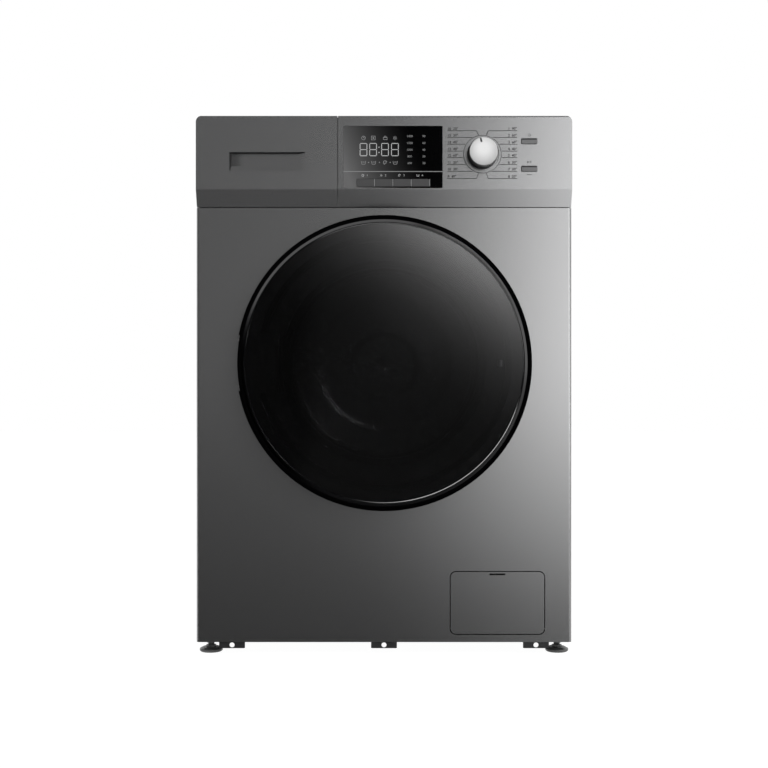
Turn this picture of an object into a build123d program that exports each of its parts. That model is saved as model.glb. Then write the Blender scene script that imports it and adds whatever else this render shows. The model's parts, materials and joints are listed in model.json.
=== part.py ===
from build123d import *
import os
from math import acos, atan2, cos, degrees, hypot, radians, sin, sqrt

# Front-loading washing machine of the 60 cm class, as an assembly of separate pieces.
# Millimetres. +Z is up, the front faces -Y, and +X is to the right as seen from the front.
# The origin is on the floor, in the middle of the machine's whole width and depth.
# A depth is measured backwards from the face of the front panel, a height from the floor.

# Cabinet
WIDTH = 595.0                # side to side
HEIGHT = 853.0               # floor to the top of the worktop, feet turned out by 3 mm
CARCASS_DEPTH = 540.0        # face of the front panel to face of the rear panel
SHEET = 1.0                  # painted steel sheet
PANEL_GAP = 0.3              # between neighbouring pieces of sheet
SKIRT = 22.0                 # side returns of the front panel
EDGE_RADIUS = 5.0            # upright front edges of the cabinet
FLANGE = 16.0                # turned-in edges of the side panels
FLOOR_GAP = 21.0             # floor to the underside of the cabinet
WORKTOP_THICK = 18.0
WORKTOP_ROUND = 3.0
SWAGE_DEPTH = 3.0            # pressed field that stiffens a side panel
SWAGE_MARGIN = 75.0          # from the panel's edges to the pressed field
SWAGE_ROUND = 50.0
SWAGE_DRAFT = 30.0           # degrees

# Base frame and levelling feet
BASE_SHEET = 1.5
BASE_RIM = 38.0              # height of the side and rear rims
BASE_FRONT_RIM = 8.0         # the front rim stays below the filter flap
BASE_LEDGE = 92.0            # width of the floor left round the central opening
BASE_ROUND = 30.0
TAB_WIDTH = 41.0             # hanging tabs that hold a plinth
TAB_DROP = 9.9
TAB_INSET = 56.5             # cabinet side to a side tab's hole
TAB_HOLE_RADIUS = 4.0
TAB_HOLE_DROP = 4.8
FOOT_INSET = 19.0            # cabinet side to the foot's axis
FOOT_SETBACK = 36.0          # cabinet front or rear to the foot's axis
FOOT_RADIUS = 18.5
FOOT_PAD = 7.0
STUD_RADIUS = 5.0
STUD_TOP = 48.0
NUT_FLATS = 17.0
NUT_HEIGHT = 6.0
INSERT_RADIUS = 10.0
INSERT_HEIGHT = 15.0

# Fits
RUNNING_GAP = 0.05           # radius gap of a shaft or pin that turns
SLIDE_GAP = 0.4              # round a sliding piece
SEAT_GAP = 0.3               # between pieces that rest on each other

# Control panel and drawer front
FASCIA_SIDE_GAP = 1.3        # cabinet side to the control panel's side
FASCIA_STEP = 0.5            # worktop top down to the control panel's top
FASCIA_HEIGHT = 142.5
CREASE_RISE = 26.5           # height of the sloping lower facet
FASCIA_PROUD = 14.0          # upper face ahead of the front panel
FACET_PROUD = 2.0            # lower edge of the facet ahead of the front panel
FASCIA_RETURN = 30.0         # top wall reaches back this far
FASCIA_FOOT = 16.0           # bottom wall reaches back this far
FASCIA_WALL = 3.0
FASCIA_TOP_ROUND = 3.0
FASCIA_CORNER = 10.0         # outer top corners in the front view
FASCIA_GAP = 1.0             # shadow gaps below and beside the control panel
SPLIT_X = -72.9              # middle of the gap between drawer front and control panel
BACKING_DEPTH = 2.0          # frame behind the drawer front
BACKING_WALL = 2.5
BACKING_MARGIN = 3.0

# Display window and option buttons
WINDOW_X = 14.0
WINDOW_DROP = 65.3           # control panel top to the window's middle
WINDOW_WIDTH = 156.0
WINDOW_HEIGHT = 97.5
WINDOW_THICK = 2.0
WINDOW_ROUND = 1.5
WINDOW_LEDGE = 8.0
SCREEN_HEIGHT = 58.0         # opening behind the upper part of the window
OPTION_COUNT = 4
OPTION_PITCH = 28.9
OPTION_WIDTH = 27.0
OPTION_HEIGHT = 11.6
OPTION_RISE = 8.2            # window's lower edge to the buttons' middle
OPTION_PROUD = 0.8

# Programme knob, power button and start button
KNOB_X = 154.8
KNOB_DROP = 60.9
KNOB_RADIUS = 22.8
KNOB_PROUD = 26.0            # ahead of the control panel's face
KNOB_SKIRT = 1.2             # step at the foot of the cap
KNOB_TURN = 13.0             # degrees to the left of upright that the pointer shows
KNOB_DRAFT = 0.4
POINTER_WIDTH = 2.4
POINTER_LENGTH = 7.0
POINTER_DEPTH = 0.8
BEZEL_RADIUS = 29.0
BEZEL_WIDTH = 3.0
BEZEL_PROUD = 1.2
DISH_DEPTH = 2.0
STEM_RADIUS = 3.0
KEY_X = 228.5
POWER_DROP = 40.5
START_DROP = 83.8
KEY_WIDTH = 25.0
KEY_HEIGHT = 9.0
KEY_PROUD = 1.4
KEY_ROUND = 2.0
KEY_TRAVEL = 1.5
KEY_FLANGE = 0.8             # collar round a key behind the control panel

# Control board
BOARD_DEPTH = 6.0
BOARD_THICK = 1.6
BOARD_LEFT = -60.0
BOARD_RIGHT = 256.0
BOARD_MARGIN = 12.0          # control panel's top and crease to the board's edges
POST_RADIUS = 3.0
POST_INSET = 5.0
SWITCH_SIZE = 7.0
SWITCH_TALL = 4.5
ENCODER_SIZE = 14.0
ENCODER_TALL = 8.0
ENCODER_BUSH = 5.0

# Detergent drawer and dispenser
POCKET_WIDTH = 119.0         # finger pocket
POCKET_HEIGHT = 29.9
POCKET_DROP = 72.4           # control panel top to the pocket's middle
POCKET_DEEP = 11.0
POCKET_UNDERCUT = 4.0
POCKET_WALL = 2.0
TRAY_SIDE = 30.4             # drawer front's ends to the tray's sides
TRAY_SHIFT = 0.8             # drawer front's middle to the middle of tray and finger pocket
TRAY_LENGTH = 245.0
TRAY_HEIGHT = 72.0
TRAY_DROP = 53.5             # control panel top to the tray's rim
TRAY_WALL = 2.0
TRAY_FRONT = 6.0
PREWASH_WIDTH = 36.0
SOFTENER_WIDTH = 38.0
TRAY_ROUND = 8.0
SIPHON_LENGTH = 80.0
HOUSING_WALL = 2.5
HOUSING_ROOM = 3.0           # round the tray's sides
HOUSING_LENGTH = 256.0
SPIGOT_RADIUS = 18.0
SPIGOT_LENGTH = 16.0

# Door
DOOR_RADIUS = 233.0
DOOR_TOP_GAP = 14.0          # control panel's lower edge to the door
DOOR_BACK = 5.0              # ring's rear edge ahead of the front panel
DOOR_FRONT = 31.5            # ring's crest ahead of the front panel
DOOR_CROWN = 36.0            # middle of the cover glass ahead of the front panel
RING_WALL = 3.5
RING_CONE = 6.0              # ring narrows by this much towards its crest
GLASS_LAND = 3.6             # ledge under the glass's edge
GLASS_THICK = 4.0
RECESS_RADIUS = 205.0        # pressed recess in the front panel, behind the door
RECESS_DEPTH = 14.0
RECESS_DRAFT = 7.0
MOUTH_RADIUS = 170.0         # door opening in the front panel
LIP_DEPTH = 12.0
FRAME_ROOM = 2.0             # inner frame to the recess's wall
FRAME_WALL = 3.5
FRAME_BACK = 8.0             # inner frame's rear face behind the front panel
BOWL_RADIUS = 150.0
BOWL_NOSE_RADIUS = 112.0
BOWL_DEPTH = 100.0
BOWL_THICK = 5.0
BOWL_FLANGE = 11.0
GRIP_HALF = 55.0             # half height of the finger grip in the ring
GRIP_DEEP = 9.0

# Door hinge, on the left
HINGE_INSET = 11.0           # door's edge to the pin
HINGE_PROUD = 14.0           # pin ahead of the front panel
PIN_RADIUS = 4.0
KNUCKLE_RADIUS = 6.5
ARM_HALF = 17.0              # half height of the arm's knuckle
KNUCKLE_TALL = 20.0          # height of each bracket knuckle
KNUCKLE_GAP = 0.5
BRACKET_THICK = 3.5
POCKET_HALF = 44.0           # half height of the room for the hinge in the door
HINGE_POCKET_REACH = 54.0    # from the pin to the pocket's inner end
ARM_THICK = 3.0

# Door latch, on the right
HOOK_RADIUS_PLACE = 184.0    # door's middle to the hook's pivot
HOOK_PROUD = 6.0             # pivot ahead of the front panel
HOOK_REACH = 34.0            # pivot to the tip
HOOK_HALF = 5.0
HOOK_STUB = 2.5
HOOK_EAR = 4.0
SLOT_HALF_HEIGHT = 9.0
SLOT_HALF_WIDTH = 10.5
LOCK_HALF_HEIGHT = 36.0
LOCK_WALL = 9.0
LOCK_DEPTH = 17.0

# Tub and drum
DRUM_RADIUS = 236.0
DRUM_WALL = 1.0
DRUM_FRONT = 112.0           # depth of the drum's mouth
DRUM_MOUTH = 165.0
DRUM_HUB = 60.0              # raised disc in the drum's back
TUB_GAP = 11.0               # drum to tub, round the side
TUB_END_GAP = 10.0           # drum to tub, at the front
TUB_WALL = 4.0
TUB_FLANGE = 7.0
TUB_FLANGE_THICK = 6.0
TUB_SPLIT = 290.0            # depth of the joint between the halves
TUB_NECK = 26.0              # collar that the gasket grips
TUB_NECK_RADIUS = 178.0
LIFTER_COUNT = 3
LIFTER_HEIGHT = 50.0
LIFTER_BASE = 66.0
LIFTER_TOP = 20.0
LIFTER_MARGIN = 26.0
SPIDER_THICK = 18.0
SPIDER_HUB = 38.0
SPIDER_ROOT = 46.0
SPIDER_TIP = 28.0
SPIDER_RIB = 5.0
SHAFT_RADIUS = 15.0
SHAFT_END_RADIUS = 12.5
HUB_RADIUS = 46.0
HUB_SINK = 14.0              # tub hub's front end ahead of the tub's rear wall
SEAL_WIDTH = 9.0
FRONT_BEARING_RADIUS = 31.0
FRONT_BEARING_WIDTH = 16.0
REAR_BEARING_RADIUS = 26.0
REAR_BEARING_WIDTH = 15.0
BEARING_SPACE = 12.0
RIB_COUNT = 10
RIB_THICK = 4.0
RIB_TALL = 18.0
SUMP_HALF = 66.0
SUMP_DROP = 24.0
SUMP_FRONT = 182.0
SUMP_LENGTH = 96.0
HEATER_RADIUS = 4.0
HEATER_HALF = 24.0
WEIGHT_FRONT = 58.0          # depth of the counterweights' front face
WEIGHT_ROOM = 4.2            # tub's neck to the counterweights
WEIGHT_ANGLE = 66.0          # half angle of each counterweight

# Drive
PULLEY_RADIUS = 145.0
PULLEY_WIDTH = 16.0
PULLEY_REAR_ROOM = 17.0      # pulley to the rear panel's face
PULLEY_ROOM = 7.0            # tub's hub to the pulley
PULLEY_RIM = 6.0
PULLEY_LIP = 2.0
PULLEY_HUB = 24.0
SPOKE_COUNT = 6
SPOKE_WIDTH = 20.0
SPOKE_THICK = 7.0
MOTOR_PULLEY_RADIUS = 11.0
BELT_THICK = 4.0
BELT_WIDTH = 12.0
MOTOR_RADIUS = 65.0
MOTOR_PULLEY_ROOM = 31.0     # motor's end shield to its pulley
MOTOR_LENGTH = 146.0
MOTOR_GAP = 22.0             # tub to motor
MOTOR_ANGLE = 35.0           # degrees to the left of straight below
MOTOR_SHAFT = 7.0
BRACKET_WIDTH = 60.0
BRACKET_LENGTH = 14.0

# Suspension
SPRING_INSET = 67.5          # cabinet side to a spring's axis
SPRING_DEPTH = 322.0
SPRING_RADIUS = 16.0
SPRING_WIRE = 4.0
SPRING_TURNS = 12
HANGER_RADIUS = 3.0
HANGER_BALL = 6.5
EAR_ROOM = 12.75             # tub to a spring's coils at the ear's height
EAR_THICK = 9.0
EAR_HALF = 17.0
RAIL_WIDTH = 66.0
RAIL_HEIGHT = 22.0
RAIL_SHEET = 2.0
BAR_DEPTH = 26.0
DAMPER_BASE_INSET = 65.5     # cabinet side to a damper's lower pin
DAMPER_BASE_RISE = 32.0      # base floor to the lower pin
DAMPER_TUB_ANGLE = 45.0      # degrees below level, from the drum's axis
DAMPER_TUB_REACH = 20.0      # tub to the upper pin
DAMPER_DEPTH = 236.0
DAMPER_TUBE = 15.0
DAMPER_ROD = 6.0
DAMPER_EYE = 10.0
DAMPER_EYE_THICK = 32.0
DAMPER_PIN = 4.0
LUG_THICK = 10.0

# Gasket
GASKET_THICK = 3.0
GASKET_LIP = 152.0           # radius of the sealing lip
GASKET_FOLD = 14.0           # depth of the bellows' folds

# Filter flap, surround, pump and filter
FLAP_INSET = 117.7           # cabinet side to the flap's middle
FLAP_Z = 83.1
FLAP_WIDTH = 151.2           # opening in the front panel
FLAP_HEIGHT = 101.2
FLAP_ROUND = 10.0
FLAP_GAP = 1.5
FLAP_THICK = 2.0
FLAP_PIN_DEPTH = 3.0
FLAP_PIN_RISE = 9.6          # opening's lower edge to the hinge pin
FLAP_PIN_RADIUS = 1.5
FLAP_PIN_LENGTH = 3.0
FLAP_LUG = 7.0
NOTCH_WIDTH = 35.0
NOTCH_HEIGHT = 5.2
SURROUND_MARGIN = 3.4
SURROUND_WALL = 2.4
SURROUND_DEPTH = 22.0
FILTER_RADIUS = 34.0         # bore of the pump's filter tube
FILTER_TUBE_WALL = 3.0
FILTER_FLANGE = 3.0
FILTER_CAP = 10.0
FILTER_CORE = 27.0
FILTER_LENGTH = 80.0
HANDLE_LENGTH = 58.0
HANDLE_THICK = 10.0
HANDLE_PROUD = 9.0
PUMP_TUBE_LENGTH = 100.0
PUMP_MOTOR_RADIUS = 30.0
PUMP_MOTOR_LENGTH = 60.0
PUMP_FOOT_HALF = 26.0
PUMP_FOOT_DEPTH = 30.0
PUMP_FOOT_LENGTH = 46.0
PUMP_INLET = 17.0
PUMP_OUTLET = 9.0
PUMP_SPIGOT = 14.0

# Rear side
REAR_PROUD = 14.0            # inlet and outlet spigots behind the rear panel
OPENING_HALF = 150.0         # service opening
OPENING_HEIGHT = 360.0
OPENING_ROUND = 70.0
COVER_LAP = 16.0
COVER_DISH = 6.0
CAP_INSET = 65.5             # cabinet side to the transit hole caps
CAP_DROP = 150.0             # drum axis down to the lower caps
CAP_RISE = 120.0             # drum axis up to the upper caps
CAP_RADIUS = 17.0
CAP_THICK = 4.0
TRANSIT_HOLE = 12.0
GLAND_INSET = 65.5           # cabinet side to the cord gland
GLAND_DROP = 73.0            # worktop top to the cord gland
GLAND_RADIUS = 13.0
GLAND_BORE = 5.0
VALVE_SIDE = 16.0            # drawer's middle to the inlet valve
VALVE_DROP = 75.0
INLET_RADIUS = 13.2          # three-quarter inch thread
VALVE_FLANGE = 20.0
VALVE_BODY = 17.0
VALVE_LENGTH = 62.0
COIL_SIZE = 30.0
DRAIN_INSET = 35.5           # cabinet side to the drain spigot
DRAIN_Z = 92.0
DRAIN_RADIUS = 11.0
DRAIN_FLANGE = 17.0
SPIGOT_FLANGE = 2.0
HOSE_WALL = 2.7
HOSE_BEND = 36.0             # bend radius of the sump hose
HOSE_STRAIGHT = 8.0          # straight length below the tub's sump
HOSE_RISE = 14.0             # pump's axis to the sump hose's lower bend
HOSE_RUN = 70.0              # straight end of the sump hose at the pump
DRAIN_BEND = 26.0            # bend radius of the drain hose
DRAIN_RUN = 90.0             # slanting length of the drain hose
SCREW_HEAD = 4.5
SCREW_SHANK = 1.9
SCREW_THICK = 3.0
SCREW_LENGTH = 8.0
SCREW_INSET = 8.0

# Places worked out from the sizes above
HALF = WIDTH / 2
FRONT_PROUD = FASCIA_PROUD + KNOB_PROUD
FRONT_Y = FRONT_PROUD - (CARCASS_DEPTH + FRONT_PROUD + REAR_PROUD) / 2
CABINET_TOP = HEIGHT - WORKTOP_THICK - PANEL_GAP
FASCIA_TOP = HEIGHT - FASCIA_STEP
FASCIA_BOTTOM = FASCIA_TOP - FASCIA_HEIGHT
CREASE_Z = FASCIA_BOTTOM + CREASE_RISE
FASCIA_RIGHT = HALF - FASCIA_SIDE_GAP
TAB_SPACING = HALF - TAB_INSET
PANEL_LEFT = SPLIT_X + FASCIA_GAP / 2
DRAWER_RIGHT = SPLIT_X - FASCIA_GAP / 2
DRAWER_MIDDLE = (DRAWER_RIGHT - FASCIA_RIGHT) / 2 + TRAY_SHIFT
TRAY_WIDTH = DRAWER_RIGHT + FASCIA_RIGHT - 2 * TRAY_SIDE
FACE = -FASCIA_PROUD
INNER_FACE = FACE + FASCIA_WALL
WINDOW_Z = FASCIA_TOP - WINDOW_DROP
OPTION_Z = WINDOW_Z - WINDOW_HEIGHT / 2 + OPTION_RISE
OPTION_FIRST_X = WINDOW_X - OPTION_PITCH * (OPTION_COUNT - 1) / 2
OPTION_PLACES = [OPTION_FIRST_X + OPTION_PITCH * i for i in range(OPTION_COUNT)]
KNOB_Z = FASCIA_TOP - KNOB_DROP
POWER_Z = FASCIA_TOP - POWER_DROP
START_Z = FASCIA_TOP - START_DROP
SWITCH_FACE = BOARD_DEPTH - SWITCH_TALL
AXIS_Z = FASCIA_BOTTOM - DOOR_TOP_GAP - DOOR_RADIUS
PULLEY_FRONT = CARCASS_DEPTH - PULLEY_REAR_ROOM - PULLEY_WIDTH
HUB_LENGTH = SEAL_WIDTH + FRONT_BEARING_WIDTH + BEARING_SPACE + REAR_BEARING_WIDTH
HUB_START = PULLEY_FRONT - PULLEY_ROOM - HUB_LENGTH
TUB_BACK = HUB_START + HUB_SINK
DRUM_BACK = HUB_START - SPIDER_THICK
DRUM_DEPTH = DRUM_BACK - DRUM_FRONT
TUB_INNER = DRUM_RADIUS + TUB_GAP
TUB_OUTER = TUB_INNER + TUB_WALL
TUB_FRONT = DRUM_FRONT - TUB_END_GAP - TUB_WALL
SUMP_FLOOR = AXIS_Z - TUB_INNER - SUMP_DROP
HINGE_X = HINGE_INSET - DOOR_RADIUS
TRAY_TOP = FASCIA_TOP - TRAY_DROP
TRAY_BOTTOM = TRAY_TOP - TRAY_HEIGHT
TRAY_START = BACKING_DEPTH - FASCIA_GAP
TRAY_LEFT = DRAWER_MIDDLE - TRAY_WIDTH / 2
TRAY_RIGHT = DRAWER_MIDDLE + TRAY_WIDTH / 2
HOUSING_FRONT = BACKING_DEPTH + BACKING_WALL
HOUSING_BOTTOM = TRAY_BOTTOM - SEAT_GAP - HOUSING_WALL
POCKET_Z = FASCIA_TOP - POCKET_DROP
FLAP_X = HALF - FLAP_INSET
FLAP_BOTTOM = FLAP_Z - FLAP_HEIGHT / 2
FLAP_PIN_Z = FLAP_BOTTOM + FLAP_PIN_RISE
MOTOR_FRONT = PULLEY_FRONT - MOTOR_PULLEY_ROOM - MOTOR_LENGTH
MOTOR_REACH = TUB_OUTER + MOTOR_GAP + MOTOR_RADIUS
MOTOR_X = -MOTOR_REACH * sin(radians(MOTOR_ANGLE))
MOTOR_Z = AXIS_Z - MOTOR_REACH * cos(radians(MOTOR_ANGLE))
DAMPER_TOP_REACH = TUB_OUTER + DAMPER_TUB_REACH
DAMPER_TOP_X = DAMPER_TOP_REACH * cos(radians(DAMPER_TUB_ANGLE))
DAMPER_TOP_Z = AXIS_Z - DAMPER_TOP_REACH * sin(radians(DAMPER_TUB_ANGLE))
DAMPER_BASE_X = HALF - DAMPER_BASE_INSET
DAMPER_BASE_Z = FLOOR_GAP + BASE_SHEET + DAMPER_BASE_RISE
SPRING_X = HALF - SPRING_INSET
EAR_RISE = sqrt(TUB_OUTER ** 2 - (SPRING_X - SPRING_RADIUS - EAR_ROOM) ** 2)
EAR_Z = AXIS_Z + EAR_RISE
RAIL_BOTTOM = CABINET_TOP - RAIL_HEIGHT
SURROUND_BACK = SHEET + PANEL_GAP + SURROUND_DEPTH
FILTER_START = SURROUND_BACK - FILTER_FLANGE
VALVE_X = DRAWER_MIDDLE - VALVE_SIDE
VALVE_Z = HEIGHT - VALVE_DROP
GLAND_X = HALF - GLAND_INSET
GLAND_Z = HEIGHT - GLAND_DROP
CAP_X = HALF - CAP_INSET
DRAIN_X = HALF - DRAIN_INSET
FOOT_X = HALF - FOOT_INSET
FOOT_DEPTHS = (FOOT_SETBACK, CARCASS_DEPTH - FOOT_SETBACK)
SIDES = (-1, 1)


def at(depth):
    """Y of a point this far behind the face of the front panel."""
    return FRONT_Y + depth


def block(x, depth, z):
    """Box between two limits on each axis."""
    middle = Pos((x[0] + x[1]) / 2, at((depth[0] + depth[1]) / 2), (z[0] + z[1]) / 2)
    return middle * Box(x[1] - x[0], depth[1] - depth[0], z[1] - z[0])


def front_slab(sketch, x, z, depth):
    """Sketch drawn in the front view about x and z, solid between two depths."""
    plane = Plane(origin=(x, at(depth[1]), z), x_dir=(1, 0, 0), z_dir=(0, -1, 0))
    return extrude(plane * sketch, depth[1] - depth[0])


def filleted(points):
    """Closed face through the points; a third number on a point rounds that corner."""
    corners = [point[:2] for point in points]
    radii = [point[2] if len(point) > 2 else 0 for point in points]
    return make_face(FilletPolyline(*corners, radius=radii, close=True))


def side_slab(points, x):
    """Outline of depths and heights in the side view, solid between two x limits."""
    plane = Plane(origin=(x[0], FRONT_Y, 0), x_dir=(0, 1, 0), z_dir=(1, 0, 0))
    return extrude(plane * filleted(points), x[1] - x[0])


def plan_slab(points, z):
    """Outline of x and depth in the plan view, solid between two heights."""
    return extrude(Plane(origin=(0, FRONT_Y, z[0])) * filleted(points), z[1] - z[0])


def turned(points, x=0.0, z=AXIS_Z):
    """Outline of radii and depths, turned about a front-to-back line through x and z."""
    return Pos(x, FRONT_Y, z) * revolve(filleted(points), Axis.Y)


def upright(points, x, depth):
    """Outline of radii and heights, turned about an upright line."""
    return Pos(x, at(depth), 0) * revolve(Plane.XZ * filleted(points), Axis.Z)


def rod(radius, x, z, depth):
    """Round bar along the machine's depth."""
    return front_slab(Circle(radius), x, z, depth)


def tube_along(path, outer, inner):
    """Round tube along a path of straight runs and arcs."""
    ring = Circle(outer) - Circle(inner)
    return sweep(Plane(path @ 0, z_dir=path % 0) * ring, path=path)


def hose_path(points, radius):
    """Path of x, depth and z points with each corner rounded."""
    return FilletPolyline(*[(x, at(depth), z) for x, depth, z in points], radius=radius)


def polar(sketch, angle, radius):
    """Sketch moved out from the drum's axis and turned to point along that radius."""
    return Rot(0, 0, angle) * Pos(radius, 0) * sketch


def around_axis(sketch, depth):
    """Front-view sketch about the drum's axis, solid between two depths."""
    return front_slab(sketch, 0, AXIS_Z, depth)


# Cabinet

def foot_places():
    """X and depth of the four levelling feet."""
    return [(side * FOOT_X, depth) for depth in FOOT_DEPTHS for side in SIDES]


def plinth_tab(x):
    """Hanging tab of the base frame with its hole."""
    near = SHEET + PANEL_GAP
    depth = (near, near + BASE_SHEET)
    tall = TAB_DROP + BASE_SHEET
    tab = front_slab(RectangleRounded(TAB_WIDTH, tall, BASE_SHEET), x, FLOOR_GAP - TAB_DROP + tall / 2, depth)
    half = TAB_WIDTH / 2
    tab += block((x - half, x + half), depth, (FLOOR_GAP - BASE_SHEET, FLOOR_GAP + BASE_SHEET))
    return tab - rod(TAB_HOLE_RADIUS, x, FLOOR_GAP - TAB_HOLE_DROP, (0, 2 * depth[1]))


def damper_lug(side):
    """Upright lug on the base frame that holds a damper's lower pin."""
    x = side * DAMPER_BASE_X
    foot = FLOOR_GAP + BASE_SHEET
    depth = (DAMPER_DEPTH - LUG_THICK, DAMPER_DEPTH)
    lug = block((x - DAMPER_EYE, x + DAMPER_EYE), depth, (foot, DAMPER_BASE_Z))
    lug += rod(DAMPER_EYE, x, DAMPER_BASE_Z, depth)
    return lug - rod(DAMPER_PIN + RUNNING_GAP, x, DAMPER_BASE_Z, (depth[0] - 1, depth[1] + 1))


def base_frame():
    """Pressed floor pan with a central opening, foot inserts, damper lugs and plinth tabs."""
    reach = HALF - SHEET - PANEL_GAP
    near, far = SHEET + PANEL_GAP, CARCASS_DEPTH - SHEET - PANEL_GAP
    floor, top = FLOOR_GAP + BASE_SHEET, FLOOR_GAP + BASE_RIM
    inside = reach - BASE_SHEET
    middle = Plane(origin=(0, at((near + far) / 2), FLOOR_GAP))
    frame = extrude(middle * RectangleRounded(2 * reach, far - near, EDGE_RADIUS), BASE_RIM)
    hollow = RectangleRounded(2 * inside, far - near - 2 * BASE_SHEET, EDGE_RADIUS - BASE_SHEET)
    frame -= extrude(middle.offset(BASE_SHEET) * hollow, BASE_RIM)
    frame -= block((-reach, reach), (0, near + BASE_SHEET), (FLOOR_GAP + BASE_FRONT_RIM, top + 1))
    opening = RectangleRounded(2 * (reach - BASE_LEDGE), far - near - 2 * BASE_LEDGE, BASE_ROUND)
    frame -= extrude(middle.offset(-1) * opening, BASE_SHEET + 2)
    for x, depth in foot_places():
        frame += Pos(x, at(depth), floor + INSERT_HEIGHT / 2) * Cylinder(INSERT_RADIUS, INSERT_HEIGHT)
        frame -= Pos(x, at(depth), floor) * Cylinder(STUD_RADIUS + RUNNING_GAP, 4 * INSERT_HEIGHT)
    for side in SIDES:
        frame += damper_lug(side)
    for x in (-TAB_SPACING, 0, TAB_SPACING):
        frame += plinth_tab(x)
    return frame


def foot(x, depth):
    """Levelling foot: ribbed pad, threaded stud and lock nut in one."""
    nut_top = FLOOR_GAP - PANEL_GAP
    outline = [
        (0, 0), (FOOT_RADIUS - 1.5, 0), (FOOT_RADIUS, 1.5), (FOOT_RADIUS, FOOT_PAD - 2.5, 1.5),
        (FOOT_RADIUS - 5, FOOT_PAD), (STUD_RADIUS + 3, FOOT_PAD), (STUD_RADIUS + 3, FOOT_PAD + 3),
        (STUD_RADIUS, FOOT_PAD + 3), (STUD_RADIUS, STUD_TOP - 1), (STUD_RADIUS - 1, STUD_TOP),
        (0, STUD_TOP),
    ]
    nut = RegularPolygon(NUT_FLATS / 2, 6, major_radius=False)
    return upright(outline, x, depth) + extrude(
        Plane(origin=(x, at(depth), nut_top - NUT_HEIGHT)) * nut, NUT_HEIGHT
    )


def side_panel(side):
    """Side sheet with turned-in edges and a pressed field."""
    near, far = SKIRT + PANEL_GAP, CARCASS_DEPTH
    rear_lap = far - SHEET - PANEL_GAP
    outer, inner = side * HALF, side * (HALF - SHEET)
    tip = side * (HALF - FLANGE)
    above_base = FLOOR_GAP + BASE_RIM + PANEL_GAP
    panel = block(sorted((outer, inner)), (near, far), (FLOOR_GAP, CABINET_TOP))
    panel += block(sorted((outer, tip)), (near, near + SHEET), (above_base, FASCIA_BOTTOM - FASCIA_GAP))
    panel += block(sorted((outer, tip)), (rear_lap - SHEET, rear_lap), (above_base, CABINET_TOP))
    for x, z in rear_screw_places():
        panel -= rod(SCREW_SHANK + SEAT_GAP, x, z, (rear_lap - 2 * SHEET, far))
    middle_z = (FLOOR_GAP + CABINET_TOP) / 2
    long, tall = far - near - 2 * SWAGE_MARGIN, CABINET_TOP - FLOOR_GAP - 2 * SWAGE_MARGIN
    inward = (-side, 0, 0)
    for inset, start, solid in ((0, inner, True), (SHEET, outer, False)):
        field = RectangleRounded(long - 2 * inset, tall - 2 * inset, SWAGE_ROUND - inset)
        place = Plane(origin=(start, at((near + far) / 2), middle_z), x_dir=(0, 1, 0), z_dir=inward)
        pressed = extrude(place * field, SWAGE_DEPTH, taper=SWAGE_DRAFT)
        panel = panel + pressed if solid else panel - pressed
    return panel


def opening_sketch(grow):
    """Rounded service opening of the rear panel, larger by grow all round."""
    return RectangleRounded(2 * (OPENING_HALF + grow), OPENING_HEIGHT + 2 * grow, OPENING_ROUND + grow)


def cover_screw_places():
    """Screws round the access cover's lap."""
    reach, tall = OPENING_HALF + COVER_LAP / 2, OPENING_HEIGHT / 2 + COVER_LAP / 2
    sides = [(side * reach, rise) for side in SIDES for rise in (-tall / 2, tall / 2)]
    return [(x, AXIS_Z + rise) for x, rise in sides + [(0, -tall), (0, tall)]]


def rear_screw_places():
    """Screws along the upright edges of the rear panel."""
    x = HALF - SHEET - SCREW_INSET
    count = 4
    low, high = FLOOR_GAP + BASE_RIM + 4 * SCREW_INSET, CABINET_TOP - 3 * SCREW_INSET
    rises = [low + (high - low) * i / (count - 1) for i in range(count)]
    return [(side * x, z) for side in SIDES for z in rises]


def cap_places():
    """Transit holes and their caps."""
    return [(side * CAP_X, AXIS_Z + rise) for side in SIDES for rise in (-CAP_DROP, CAP_RISE)]


def rear_panel():
    """Rear sheet with service opening, transit holes and holes for inlet, outlet and cord."""
    depth = (CARCASS_DEPTH - SHEET, CARCASS_DEPTH)
    through = (depth[0] - 1, depth[1] + 1)
    reach = HALF - SHEET - PANEL_GAP
    panel = block((-reach, reach), depth, (FLOOR_GAP, CABINET_TOP))
    panel -= front_slab(opening_sketch(0), 0, AXIS_Z, through)
    for x, z in cap_places():
        panel -= rod(TRANSIT_HOLE, x, z, through)
    panel -= rod(GLAND_RADIUS, GLAND_X, GLAND_Z, through)
    panel -= rod(INLET_RADIUS + SEAT_GAP, VALVE_X, VALVE_Z, through)
    panel -= rod(DRAIN_RADIUS + SEAT_GAP, DRAIN_X, DRAIN_Z, through)
    for x, z in rear_screw_places() + cover_screw_places():
        panel -= rod(SCREW_SHANK + SEAT_GAP, x, z, through)
    return panel


def rear_access_cover():
    """Dished cover over the service opening, lapping the rear panel."""
    lap = (CARCASS_DEPTH, CARCASS_DEPTH + SHEET)
    cover = front_slab(opening_sketch(COVER_LAP), 0, AXIS_Z, lap)
    outward = Plane(origin=(0, at(CARCASS_DEPTH), AXIS_Z), x_dir=(-1, 0, 0), z_dir=(0, 1, 0))
    cover += extrude(outward * opening_sketch(-SHEET), COVER_DISH + SHEET, taper=SWAGE_DRAFT)
    cover -= extrude(outward * opening_sketch(-2 * SHEET), COVER_DISH, taper=SWAGE_DRAFT)
    for x, z in cover_screw_places():
        cover -= rod(SCREW_SHANK + SEAT_GAP, x, z, (lap[0] - 1, lap[1] + 1))
    return cover


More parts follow.
